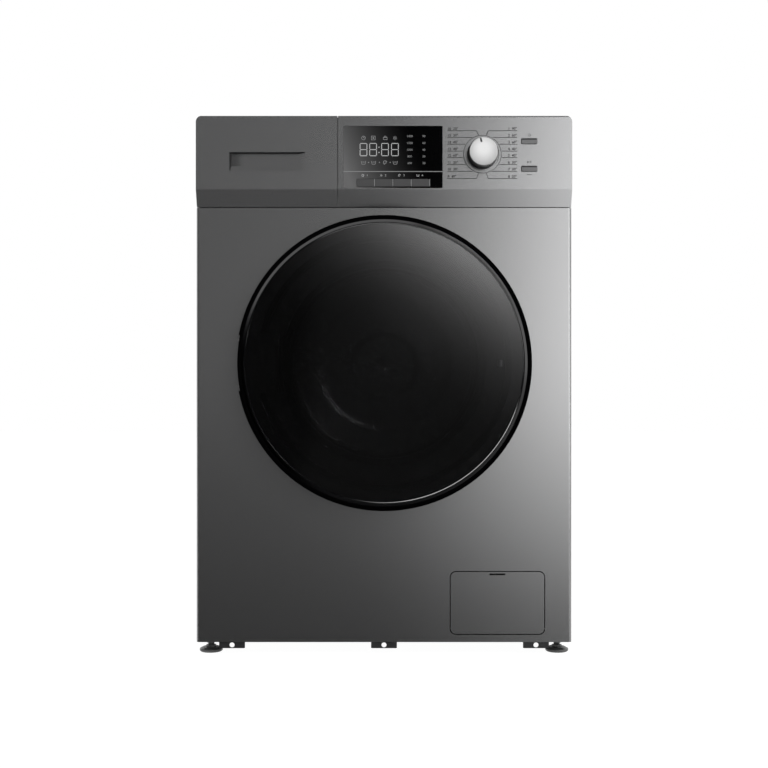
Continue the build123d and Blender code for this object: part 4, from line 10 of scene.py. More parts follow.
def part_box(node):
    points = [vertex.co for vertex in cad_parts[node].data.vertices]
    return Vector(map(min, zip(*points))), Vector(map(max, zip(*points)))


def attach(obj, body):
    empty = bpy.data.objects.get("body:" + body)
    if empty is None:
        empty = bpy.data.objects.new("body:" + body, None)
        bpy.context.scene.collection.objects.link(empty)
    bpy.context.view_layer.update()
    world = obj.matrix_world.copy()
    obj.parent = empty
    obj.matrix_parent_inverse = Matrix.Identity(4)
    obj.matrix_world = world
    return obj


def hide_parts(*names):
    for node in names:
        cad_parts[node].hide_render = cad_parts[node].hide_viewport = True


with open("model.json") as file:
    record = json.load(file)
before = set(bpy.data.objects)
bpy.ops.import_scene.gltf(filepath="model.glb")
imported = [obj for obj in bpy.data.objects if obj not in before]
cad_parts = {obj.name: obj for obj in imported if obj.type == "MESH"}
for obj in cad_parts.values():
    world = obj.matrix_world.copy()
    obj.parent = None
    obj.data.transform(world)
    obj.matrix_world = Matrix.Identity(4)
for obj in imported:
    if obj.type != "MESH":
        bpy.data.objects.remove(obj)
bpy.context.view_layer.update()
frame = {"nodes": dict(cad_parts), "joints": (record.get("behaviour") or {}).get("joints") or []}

bl_info = {
    "name": "Front-loading washing machine",
    "version": (1, 0, 0),
    "blender": (4, 5, 0),
    "location": "View3D > Sidebar > Washer",
    "description": "Finishes, prints, gasket, drum perforations and studio for a packed washing machine",
    "category": "Object",
}

MM = 0.001
NODES = frame["nodes"]
JOINTS = {joint["name"]: joint for joint in frame["joints"]}
FRONT_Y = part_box("front_panel")[0].y
FACE_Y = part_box("display_window")[0].y
DRUM_AXIS = Vector(JOINTS["drum_spin"]["pos_m"])
MOTOR_AXIS = Vector(JOINTS["motor_spin"]["pos_m"])
KNOB_AXIS = Vector(JOINTS["knob_turn"]["pos_m"])
PRINT_LIFT = 0.00003
PRINT_THICK = 0.0001
NUMBER_WEIGHT = 0.00012


# Sizes and colours that a user would change

def colour(name, description, default):
    """Colour property with three channels."""
    return FloatVectorProperty(name=name, description=description, subtype="COLOR", size=3, min=0, max=1,
                               default=default)


def length(name, description, default):
    """Length property in metres."""
    return FloatProperty(name=name, description=description, unit="LENGTH", min=0, default=default)


def factor(name, description, default):
    """Property from 0 to 1."""
    return FloatProperty(name=name, description=description, subtype="FACTOR", min=0, max=1, default=default)


def strength(name, description, default, unit="NONE"):
    """Strength property from 0 up."""
    return FloatProperty(name=name, description=description, unit=unit, min=0, default=default)


def whole(name, description, least, default):
    """Whole number property."""
    return IntProperty(name=name, description=description, min=least, default=default)


class WasherFinishes(bpy.types.PropertyGroup):
    """Colours and gloss of the visible finishes."""
    paint: colour("Cabinet paint", "Metallic grey of the sheet metal", (0.385, 0.386, 0.388))
    paint_gloss: factor("Paint roughness", "Roughness of the cabinet paint", 0.24)
    lacquer: colour("Fascia lacquer", "Metallic grey of the plastic fascia", (0.40, 0.402, 0.405))
    ring: colour("Door ring", "Black of the door's outer ring", (0.0016, 0.0016, 0.0018))
    smoke: colour("Smoked glass", "Tint of the door's cover glass", (0.15, 0.15, 0.153))
    window: colour("Display black", "Black of the display window's print", (0.0008, 0.0008, 0.001))
    silver: colour("Knob silver", "Pale silver of the programme knob", (0.97, 0.97, 0.97))
    rubber: colour("Gasket rubber", "Grey of the door gasket", (0.20, 0.205, 0.21))
    light_print: colour("Display print", "Pale digits of the display", (0.50, 0.505, 0.51))
    grey_print: colour("Display signs", "Grey signs, numbers and rules of the display", (0.27, 0.272, 0.275))
    dark_print: colour("Fascia print", "Dark print round the programme knob", (0.010, 0.010, 0.011))


class WasherSizes(bpy.types.PropertyGroup):
    """Sizes of prints and of what repeats."""
    digit_height: length("Digit height", "Height of the display's clock digits", 0.0205)
    digit_width: length("Digit width", "Width of one clock digit", 0.0118)
    digit_stroke: length("Digit stroke", "Width of a clock digit's strokes", 0.00105)
    number_height: length("Number height", "Height of the small numbers", 0.0040)
    line_width: length("Line width", "Width of the lines round the knob", 0.0009)
    hole_radius: length("Perforation radius", "Radius of a hole in the drum's wall", 0.0019)
    hole_columns: whole("Perforation columns", "Holes round the drum", 12, 108)
    hole_rows: whole("Perforation rows", "Holes along the drum", 4, 21)
    spring_wire: length("Spring wire", "Wire radius of a suspension spring", 0.0019)
    spring_turns: whole("Spring turns", "Turns of a suspension spring", 3, 26)


class WasherStudio(bpy.types.PropertyGroup):
    """Camera and light."""
    camera_distance: length("Camera distance", "Camera to the front panel's face", 2.0)
    camera_height: length("Camera height", "Camera above the floor", 0.43)
    lens: FloatProperty(name="Lens", description="Focal length in millimetres", min=10, default=59.165)
    key_power: strength("Key lamp", "Power of the key lamp", 48, "POWER")
    fill_power: strength("Fill lamp", "Power of the fill lamp", 10, "POWER")
    sky: factor("Room light", "Strength of the even room light", 0.34)
    card_glow: strength("Studio card", "Brightest part of the studio card", 2.15)
    glass_glow: strength("Glass card", "Card that only the cover glass shows", 13.0)
    facet_glow: strength("Facet card", "Card that only the fascia shows", 1.30)
    trim_glow: strength("Trim card", "Card that only the door's trim shows", 1.7)
    line_glow: strength("Line card", "Card that only the glass's bright line shows", 13.0)


# Meshes

def place_object(name, data):
    """New object in the scene, at the origin."""
    piece = bpy.data.objects.new(name, data)
    bpy.context.scene.collection.objects.link(piece)
    return piece


def add_object(name, mesh, body, material=None):
    """Object at the origin that rides on a body and takes the given finish, if any."""
    piece = place_object(name, mesh)
    if material is not None:
        piece.data.materials.clear()
        piece.data.materials.append(material)
    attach(piece, body)
    return piece


def mesh_from(bm, name, smooth=False):
    """Mesh of a bmesh with merged doubles and outward faces."""
    bmesh.ops.remove_doubles(bm, verts=bm.verts, dist=1e-7)
    bmesh.ops.recalc_face_normals(bm, faces=bm.faces)
    mesh = bpy.data.meshes.new(name)
    bm.to_mesh(mesh)
    bm.free()
    if smooth:
        mesh.shade_smooth()
    return mesh


def add_prism(bm, outline, y, thick=PRINT_THICK):
    """Closed prism of an x and z outline, its back at y and its front ahead of it."""
    back = [bm.verts.new((x, y, z)) for x, z in outline]
    front = [bm.verts.new((x, y - thick, z)) for x, z in outline]
    bm.faces.new(back)
    bm.faces.new(front[::-1])
    count = len(outline)
    for i in range(count):
        j = (i + 1) % count
        bm.faces.new((back[j], back[i], front[i], front[j]))


def add_frame(bm, outer, inner, y, thick=PRINT_THICK):
    """Closed prism between two outlines with the same number of points."""
    count = len(outer)
    rings = []
    for outline in (outer, inner):
        rings.append([bm.verts.new((x, y, z)) for x, z in outline])
        rings.append([bm.verts.new((x, y - thick, z)) for x, z in outline])
    outer_back, outer_front, inner_back, inner_front = rings
    for a, b in ((outer_back, outer_front), (inner_front, inner_back), (outer_front, inner_front),
                 (inner_back, outer_back)):
        for i in range(count):
            j = (i + 1) % count
            bm.faces.new((a[i], a[j], b[j], b[i]))


def rectangle(x, z, width, height, turn=0.0):
    """Corners of a rectangle about x and z, turned by an angle."""
    c, s = math.cos(turn), math.sin(turn)
    corners = ((-1, -1), (1, -1), (1, 1), (-1, 1))
    points = [(width / 2 * a, height / 2 * b) for a, b in corners]
    return [(x + u * c - v * s, z + u * s + v * c) for u, v in points]


def disc(x, z, radius, count=20, start=0.0):
    """Corners of a regular outline about x and z."""
    angles = [start + math.tau / count * i for i in range(count)]
    return [(x + radius * math.cos(a), z + radius * math.sin(a)) for a in angles]


def stroke(a, b, width):
    """Corners of a straight line with a width."""
    run = Vector((b[0] - a[0], b[1] - a[1]))
    side = Vector((-run.y, run.x)).normalized() * width / 2
    return [(a[0] - side.x, a[1] - side.y), (b[0] - side.x, b[1] - side.y), (b[0] + side.x, b[1] + side.y),
            (a[0] + side.x, a[1] + side.y)]


def arc_band(x, z, radius, width, start, end, count=16):
    """Corners of a bent stroke round x and z."""
    angles = [start + (end - start) * i / count for i in range(count + 1)]
    outside = [(x + (radius + width / 2) * math.cos(a), z + (radius + width / 2) * math.sin(a)) for a in angles]
    inside = [(x + (radius - width / 2) * math.cos(a), z + (radius - width / 2) * math.sin(a)) for a in angles]
    return outside + inside[::-1]


def add_number(bm, words, x, z, height, y, align="CENTER", weight=0.0):
    """Plain number drawn upright on the front, its middle height at z."""
    curve = bpy.data.curves.new("number", "FONT")
    curve.body = words
    curve.size = height / 0.7
    curve.align_x = align
    curve.align_y = "CENTER"
    curve.extrude = PRINT_THICK / 2
    curve.offset = weight
    curve.resolution_u = 2
    holder = place_object("number", curve)
    bpy.context.view_layer.update()
    flat = bpy.data.meshes.new_from_object(holder.evaluated_get(bpy.context.evaluated_depsgraph_get()))
    flat.transform(Matrix.Translation((x, y - PRINT_THICK / 2, z)) @ Matrix.Rotation(math.pi / 2, 4, "X"))
    bm.from_mesh(flat)
    bpy.data.objects.remove(holder)
    bpy.data.curves.remove(curve)
    bpy.data.meshes.remove(flat)


# Materials

def add_node(tree, kind, inputs=None, **settings):
    """Node of a tree with its settings, and with values or sockets for its inputs."""
    node = tree.nodes.new(kind)
    for name, value in settings.items():
        setattr(node, name, value)
    for name, value in (inputs or {}).items():
        if isinstance(value, bpy.types.NodeSocket):
            tree.links.new(value, node.inputs[name])
        else:
            node.inputs[name].default_value = value
    return node


def math_node(tree, operation, first, second):
    """Math node between two sockets or numbers."""
    return add_node(tree, "ShaderNodeMath", {0: first, 1: second}, operation=operation).outputs[0]


def times(tree, first, second):
    """Product of two sockets or numbers."""
    return math_node(tree, "MULTIPLY", first, second)


def plus(tree, first, second):
    """Sum of two sockets or numbers."""
    return math_node(tree, "ADD", first, second)


def vector(tree, **axes):
    """Vector socket of the given axes."""
    return add_node(tree, "ShaderNodeCombineXYZ", axes).outputs[0]


def blank_material(name):
    """Material whose tree holds only its output."""
    material = bpy.data.materials.new(name)
    material.use_nodes = True
    tree = material.node_tree
    tree.nodes.clear()
    return material, tree, add_node(tree, "ShaderNodeOutputMaterial")


def new_material(name, **sockets):
    """Material with one principled shader whose sockets hold plain values."""
    material, tree, output = blank_material(name)
    shader = add_node(tree, "ShaderNodeBsdfPrincipled")
    for socket, value in sockets.items():
        shader.inputs[socket.replace("_", " ")].default_value = value
    tree.links.new(shader.outputs["BSDF"], output.inputs["Surface"])
    return material, tree, shader


def new_group(name, inputs, outputs):
    """Empty shader group with named sockets."""
    group = bpy.data.node_groups.new(name, "ShaderNodeTree")
    for direction, sockets in (("INPUT", inputs), ("OUTPUT", outputs)):
        for socket, kind in sockets:
            group.interface.new_socket(name=socket, in_out=direction, socket_type=kind)
    return group, add_node(group, "NodeGroupInput"), add_node(group, "NodeGroupOutput")


def object_place(tree):
    """Socket of a tree's Object coordinates."""
    return add_node(tree, "ShaderNodeTexCoord").outputs["Object"]


def grain_group():
    """Fine grain: colour and roughness that vary with a stretched noise, and its height."""
    name = "Fine grain"
    if name in bpy.data.node_groups:
        return bpy.data.node_groups[name]
    real, vector, tint = "NodeSocketFloat", "NodeSocketVector", "NodeSocketColor"
    group, start, end = new_group(
        name,
        [("Color", tint), ("Scale", real), ("Stretch", vector), ("Variation", real), ("Roughness", real),
         ("Spread", real)],
        [("Color", tint), ("Roughness", real), ("Height", real)],
    )
    port = start.outputs
    place = object_place(group)
    mapping = add_node(group, "ShaderNodeMapping", {"Vector": place, "Scale": port["Stretch"]})
    noise = add_node(group, "ShaderNodeTexNoise", {"Vector": mapping.outputs["Vector"], "Scale": port["Scale"],
                                                   "Detail": 3.0})
    height = noise.outputs["Fac"]
    centred = math_node(group, "SUBTRACT", height, 0.5)
    lift = add_node(group, "ShaderNodeMath", {0: centred, 1: port["Variation"], 2: 1.0}, operation="MULTIPLY_ADD")
    shade = add_node(group, "ShaderNodeHueSaturation", {"Color": port["Color"], "Value": lift.outputs[0]})
    rough = add_node(group, "ShaderNodeMath", {0: centred, 1: port["Spread"], 2: port["Roughness"]},
                     operation="MULTIPLY_ADD", use_clamp=True)
    results = {"Color": shade.outputs["Color"], "Roughness": rough.outputs[0], "Height": height}
    for socket, result in results.items():
        group.links.new(result, end.inputs[socket])
    return group


def add_grain(tree, shader, color, roughness, scale, variation, spread, stretch=(1, 1, 1)):
    """Fine grain that feeds a shader's colour and roughness."""
    values = {"Color": (*color, 1), "Scale": scale, "Stretch": stretch, "Variation": variation,
              "Roughness": roughness, "Spread": spread}
    grain = add_node(tree, "ShaderNodeGroup", values, node_tree=grain_group())
    tree.links.new(grain.outputs["Color"], shader.inputs["Base Color"])
    tree.links.new(grain.outputs["Roughness"], shader.inputs["Roughness"])
    return grain


def raise_surface(tree, shader, height, strength, distance):
    """Bump of a height socket on a shader."""
    bump = add_node(tree, "ShaderNodeBump", {"Strength": strength, "Distance": distance, "Height": height})
    tree.links.new(bump.outputs["Normal"], shader.inputs["Normal"])


def grained(name, color, roughness, scale, variation, spread, bump, stretch=(1, 1, 1), **sockets):
    """Material whose colour, roughness and bump come from the fine grain."""
    material, tree, shader = new_material(name, **sockets)
    grain = add_grain(tree, shader, color, roughness, scale, variation, spread, stretch)
    raise_surface(tree, shader, grain.outputs["Height"], bump, 0.0004)
    return material, tree, shader, grain


def spread_between(tree, value, start, end, kind="SMOOTHSTEP"):
    """Mask from 0 to 1 as a value runs from start to end."""
    inputs = {"From Min": start, "From Max": end, "Value": value}
    return add_node(tree, "ShaderNodeMapRange", inputs, interpolation_type=kind).outputs["Result"]


def ramp_along(tree, axis, start, end):
    """Smooth mask from 0 to 1 between two places on an axis of Object coordinates."""
    parts = add_node(tree, "ShaderNodeSeparateXYZ", {"Vector": object_place(tree)})
    return spread_between(tree, parts.outputs[axis], start, end)


def mix_colours(tree, mask, first, second):
    """Colour between two colours or sockets by a mask."""
    first, second = [(*value, 1) if isinstance(value, tuple) else value for value in (first, second)]
    return add_node(tree, "ShaderNodeMix", {0: mask, 6: first, 7: second}, data_type="RGBA").outputs[2]


def slanted_ramp(tree, run, rise, start, end, kind="SMOOTHSTEP"):
    """Mask from 0 to 1 between two values of run times X plus rise times Z."""
    along = add_node(tree, "ShaderNodeVectorMath", {0: object_place(tree), 1: (run, 0, rise)},
                     operation="DOT_PRODUCT")
    return spread_between(tree, along.outputs["Value"], start, end, kind)


def window_finish_with_painted_reflection(near, far):
    """Gloss window whose black print fades out to the left into a painted reflection in grey, further from the edge
    at the bottom.
    """
    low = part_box("display_window")[0]
    material, tree, shader, grain = grained("display_smoke_painted_reflection", near, 0.12, scale=900, variation=0.03, spread=0.03,
                                            bump=0.01, Specular_IOR_Level=0.05)
    # Painted reflection: the grey near the left edge stands for studio light reflected in the glass; the black is
    # the print's own colour.
    slant, clear, fade, steepness = 0.42, 0.016, 0.150, 2.4
    edge = low.x + slant * low.z
    ramp = slanted_ramp(tree, 1.0, slant, edge + fade, edge + clear, "LINEAR")
    mask = math_node(tree, "POWER", ramp, steepness)
    tree.links.new(mix_colours(tree, mask, far, grain.outputs["Color"]), shader.inputs["Base Color"])
    return material


def knob_finish(color):
    """Pale satin front with a painted highlight above its middle that turns to painted shade towards its rim, and a
    dark metallic side that is painted shade.
    """
    material, tree, shader, grain = grained("knob_silver", color, 0.30, scale=700, variation=0.03, spread=0.06,
                                            bump=0.01, Metallic=0.0, Coat_Weight=0.3)
    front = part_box("programme_knob")[0].y
    # Painted highlight and shade: the front is lightest 5 mm above the axis and greyer towards the rim, and the
    # side is painted dark.
    raise_by, highlight_to, shade_from = 0.005, 0.004, 0.030
    edge, corner = 0.0004, 0.0012
    painted_shade, side_painted_shade = (0.50, 0.50, 0.50), (0.10, 0.10, 0.102)
    painted_highlight_centre = (KNOB_AXIS.x, front, KNOB_AXIS.z + raise_by)
    away = add_node(tree, "ShaderNodeVectorMath", {0: object_place(tree), 1: painted_highlight_centre}, operation="DISTANCE")
    mask = spread_between(tree, away.outputs["Value"], highlight_to, shade_from)
    satin = mix_colours(tree, mask, grain.outputs["Color"], painted_shade)
    side = ramp_along(tree, "Y", front + edge, front + corner)
    tree.links.new(mix_colours(tree, side, satin, side_painted_shade), shader.inputs["Base Color"])
    tree.links.new(side, shader.inputs["Metallic"])
    return material


def thread_finish(color):
    """Black foot whose stud shows a thread."""
    stud_start, stud_full, coarse = 0.0102, 0.0104, 210
    material, tree, shader, _ = grained("foot_black", color, 0.28, scale=300, variation=0.2, spread=0.12,
                                        bump=0.05)
    wave = add_node(tree, "ShaderNodeTexWave", {"Vector": object_place(tree), "Scale": coarse},
                    bands_direction="Z")
    depth = times(tree, wave.outputs["Fac"], ramp_along(tree, "Z", stud_start, stud_full))
    raise_surface(tree, shader, depth, 0.7, 0.0006)
    return material


def bend_normal(tree, shader, operation):
    """Unit normal of a shader after adding or multiplying by a vector, whose socket it gives."""
    normal = shader.inputs["Normal"].links[0].from_socket
    bent = add_node(tree, "ShaderNodeVectorMath", {0: normal}, operation=operation)
    unit = add_node(tree, "ShaderNodeVectorMath", {0: bent.outputs["Vector"]}, operation="NORMALIZE")
    tree.links.new(unit.outputs["Vector"], shader.inputs["Normal"])
    return bent.inputs[1]


PAINT_GRAIN = {"scale": 1400, "variation": 0.10, "spread": 0.08, "bump": 0.003, "Metallic": 0.95}
LACQUER_GRAIN = {"scale": 1600, "variation": 0.08, "spread": 0.08, "bump": 0.003, "Metallic": 0.94}

# Name, colour, roughness, the grain's scale, variation, spread and bump, other settings, and the nodes
PLAIN_FINISHES = (
    ("key_lacquer", (0.17, 0.171, 0.173), 0.34, (1200, 0.06, 0.06, 0.02), {"Metallic": 0.85},
     ("power_button", "start_button")),
    ("zinc_sheet", (0.52, 0.53, 0.54), 0.36, (70, 0.22, 0.2, 0.02), {"Metallic": 0.9},
     ("rear_panel", "rear_access_cover", "top_frame")),
    ("dark_moulding", (0.035, 0.036, 0.038), 0.45, (1500, 0.2, 0.12, 0.10), {},
     ("rear_plugs", "drain_outlet", "pump_filter", "filter_surround", "door_inner_frame", "door_lock",
      "drum_lifters", "dampers")),
    ("pale_moulding", (0.72, 0.73, 0.73), 0.42, (1100, 0.04, 0.10, 0.05), {},
     ("drawer_tray", "dispenser_housing", "inlet_valve", "drain_pump")),
    ("blue_moulding", (0.05, 0.16, 0.36), 0.40, (1100, 0.06, 0.10, 0.05), {}, ("siphon_cap",)),
    ("filled_plastic", (0.36, 0.37, 0.36), 0.55, (500, 0.12, 0.12, 0.12), {}, ("tub_front", "tub_rear")),
    ("drum_stainless", (0.62, 0.62, 0.63), 0.24, (260, 0.06, 0.12, 0.02),
     {"stretch": (1, 0.05, 1), "Metallic": 1.0}, ("drum_shell", "heater")),
    ("bright_steel", (0.50, 0.50, 0.51), 0.33, (420, 0.10, 0.14, 0.03),
     {"stretch": (1, 1, 0.1), "Metallic": 1.0},
     ("cabinet_screws", "hinge_bracket", "hinge_pin", "latch_hook", "bearings", "drum_shaft", "motor_pulley",
      "suspension_springs")),
    ("cast_alloy", (0.48, 0.48, 0.49), 0.48, (420, 0.16, 0.18, 0.25), {"Metallic": 0.95},
     ("hinge_arm", "drum_spider", "drum_pulley", "motor")),
    ("cast_concrete", (0.33, 0.32, 0.30), 0.85, (160, 0.5, 0.2, 0.8), {}, ("counterweights",)),
    ("board_green", (0.02, 0.12, 0.05), 0.4, (240, 0.3, 0.1, 0.05), {}, ("control_board",)),
    ("black_rubber", (0.018, 0.018, 0.018), 0.62, (700, 0.3, 0.15, 0.12), {},
     ("internal_hoses", "drive_belt", "door_gasket")),
    ("option_key_smoke", (0.080, 0.080, 0.081), 0.36, (1200, 0.08, 0.06, 0.02), {"Specular_IOR_Level": 0.2},
     ("option_button_1", "option_button_2", "option_button_3", "option_button_4")),
    ("base_black", (0.05, 0.05, 0.052), 0.42, (500, 0.2, 0.15, 0.05), {"Metallic": 0.5}, ("base_frame",)),
)


def rolled_finish(look):
    """Cabinet paint whose normals turn outward along the two upright edges of the front panel."""
    low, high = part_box("front_panel")
    material, tree, shader, _ = grained("panel_paint", look.paint, look.paint_gloss, **PAINT_GRAIN)
    left_roll, right_roll, soft, turn = 0.0030, 0.0040, 0.0009, 1.1
    right = ramp_along(tree, "X", high.x - right_roll, high.x - right_roll + soft)
    left = ramp_along(tree, "X", low.x + left_roll, low.x + left_roll - soft)
    outward = times(tree, math_node(tree, "SUBTRACT", right, left), turn)
    tree.links.new(vector(tree, X=outward), bend_normal(tree, shader, "ADD"))
    return material


def glass_finish(name, color, roughness, ior):
    """Clear or smoked glass with a faint unevenness in its surface."""
    material, tree, shader = new_material(name, Transmission_Weight=1.0, IOR=ior, Metallic=0.0)
    add_grain(tree, shader, color, roughness, scale=8.0, variation=0.02, spread=0.02)
    return material


def finish_table(look):
    """Material of each CAD node."""
    paint = grained("cabinet_paint", look.paint, look.paint_gloss, **PAINT_GRAIN)[0]
    lacquer = grained("fascia_lacquer", look.lacquer, look.paint_gloss, **LACQUER_GRAIN)[0]
    black = grained("ring_black", look.ring, 0.36, scale=500, variation=0.2, spread=0.06, bump=0.01,
                    Specular_IOR_Level=0.0)[0]
    laminate = grained("worktop_laminate", look.paint, 0.5, scale=900, variation=0.12, spread=0.12, bump=0.10,
                       Metallic=0.35)[0]
    groups = {
        paint: ("side_panel_left", "side_panel_right", "filter_flap"),
        rolled_finish(look): ("front_panel",),
        lacquer: ("control_panel", "drawer_front"),
        black: ("door_ring",),
        laminate: ("top_panel",),
        # Grey of the painted reflection, then black of the print.
        window_finish_with_painted_reflection((0.166, 0.166, 0.167), tuple(look.window)): ("display_window",),
        thread_finish((0.12, 0.12, 0.12)): [name for name in NODES if name.startswith("foot_")],
        knob_finish(tuple(look.silver)): ("programme_knob",),
        glass_finish("smoked_glass", tuple(look.smoke), 0.02, 1.52): ("door_glass",),
        glass_finish("clear_glass", (0.92, 0.94, 0.93), 0.01, 1.5): ("door_bowl",),
    }
    for name, color, roughness, grain, settings, nodes in PLAIN_FINISHES:
        groups[grained(name, color, roughness, *grain, **settings)[0]] = nodes
    return {node: material for material, names in groups.items() for node in names}


class WASHER_OT_finishes(bpy.types.Operator):
    """Give every CAD node its own finish"""
    bl_idname = "washer.finishes"
    bl_label = "Finish the CAD nodes"

    def execute(self, context):
        table = finish_table(context.scene.washer_finishes)
        bare = sorted(set(NODES) - set(table))
        if bare:
            raise RuntimeError(f"nodes without a finish: {bare}")
        for name, material in table.items():
            mesh = NODES[name].data
            mesh.materials.clear()
            mesh.materials.append(material)
        return {"FINISHED"}


# Display

VIEW_MIDDLE = 384
VIEW_HEIGHT = 0.430
VIEW_SCALE = 0.0015734

# Columns and rows of prints in the front view, in pixels
DIGIT_COLUMNS, DIGIT_ROW = (363.5, 373.1, 385.0, 394.9), 149.6
COLON_COLUMN, COLON_ROWS = 379.0, (147.2, 152.4)
SIGN_COLUMNS, SIGN_ROW = (363.5, 373.3, 385.2, 395.0), 138.0
WASH_COLUMNS, WASH_ROW, DOT_ROW = (363.5, 373.6, 385.2, 395.2), 162.6, 162.4
NUMBER_ROWS, SPEED_COLUMN, HEAT_COLUMN = (136.3, 143.1, 149.9, 156.5, 163.2), 409.7, 423.9
RULE_ROW, OPTION_ROW = 171.5, 175.4
LINE_ROWS = (130.7, 137.4, 144.2, 151.1, 157.5, 164.5, 171.3, 178.5)
LINE_LEFT, LINE_RIGHT = 447.2, 517.2
KEY_SIGN_COLUMN, POWER_ROW, START_ROW, BAR_ROW = 529.3, 135.0, 162.0, 174.6


def photo_x(pixel):
    """X in metres on the fascia's face of a column of the front view."""
    return (pixel - VIEW_MIDDLE) * VIEW_SCALE


def photo_z(pixel):
    """Height in metres on the fascia's face of a row of the front view."""
    return VIEW_HEIGHT + (VIEW_MIDDLE - pixel) * VIEW_SCALE


SEGMENTS = {
    "top": ((0, 2), (1, 2)), "middle": ((0, 1), (1, 1)), "bottom": ((0, 0), (1, 0)),
    "upper_left": ((0, 1), (0, 2)), "upper_right": ((1, 1), (1, 2)),
    "lower_left": ((0, 0), (0, 1)), "lower_right": ((1, 0), (1, 1)),
}


def add_digit(bm, x, z, size, y):
    """Full seven-segment digit whose strokes have pointed ends."""
    width, height = size.digit_width - size.digit_stroke, (size.digit_height - size.digit_stroke) / 2
    half, gap = size.digit_stroke / 2, size.digit_stroke * 0.28
    for (u0, v0), (u1, v1) in SEGMENTS.values():
        a = Vector((x + (u0 - 0.5) * width, z + (v0 - 1) * height))
        b = Vector((x + (u1 - 0.5) * width, z + (v1 - 1) * height))
        along = (b - a).normalized()
        across = Vector((-along.y, along.x)) * half
        a += along * gap
        b -= along * gap
        inner_a, inner_b = a + along * half, b - along * half
        outline = [a, inner_a - across, inner_b - across, b, inner_b + across, inner_a + across]
        add_prism(bm, [tuple(point) for point in outline], y)


def add_icon(bm, kind, x, z, size, y):
    """Small generic sign: box, ring, lock, star, tub or swirl."""
    line = size / 9
    if kind == "box":
        add_frame(bm, rectangle(x, z, size, size), rectangle(x, z, size - 2 * line, size - 2 * line), y)
        add_prism(bm, rectangle(x, z, size / 3, size / 3), y)
    elif kind == "ring":
        add_frame(bm, disc(x, z, size / 2), disc(x, z, size / 2 - line), y)
        add_prism(bm, stroke((x, z), (x, z + size / 3), line), y)
        add_prism(bm, stroke((x + line / 2, z), (x + size / 4, z), line), y)
    elif kind == "lock":
        add_frame(bm, rectangle(x, z - size / 8, size, size * 0.62), rectangle(x, z - size / 8, size - 2 * line,
                  size * 0.62 - 2 * line), y)
        add_prism(bm, arc_band(x, z + size * 0.19, size / 4, line, 0, math.pi), y)
    elif kind == "star":
        for i in range(3):
            turn = math.pi / 3 * i + math.pi / 6
            reach = (math.cos(turn) * size / 2, math.sin(turn) * size / 2)
            for sign in (-1, 1):
                near = (x + sign * reach[0] * 0.25, z + sign * reach[1] * 0.25)
                far = (x + sign * reach[0], z + sign * reach[1])
                add_prism(bm, stroke(near, far, line), y)
    elif kind == "tub":
        rim = size * 0.36
        corners = [(x - size / 2, z + rim), (x - size * 0.36, z - rim), (x + size * 0.36, z - rim),
                   (x + size / 2, z + rim)]
        for a, b in zip(corners, corners[1:]):
            add_prism(bm, stroke(a, b, line), y)
        add_prism(bm, stroke((x - size * 0.3, z + rim * 0.35), (x + size * 0.3, z + rim * 0.35), line), y)
    elif kind == "swirl":
        add_prism(bm, arc_band(x, z, size * 0.42, line, 0.4, 4.6), y)
        add_prism(bm, arc_band(x, z, size * 0.2, line, 3.4, 7.6), y)


def print_material(name, color, glow):
    """Printed ink with a fine unevenness, and its own light where it is a display."""
    material, tree, shader, grain = grained(name, color, 0.5, scale=2500, variation=0.10, spread=0.1, bump=0.02,
                                            Emission_Strength=glow)
    tree.links.new(grain.outputs["Color"], shader.inputs["Emission Color"])
    return material


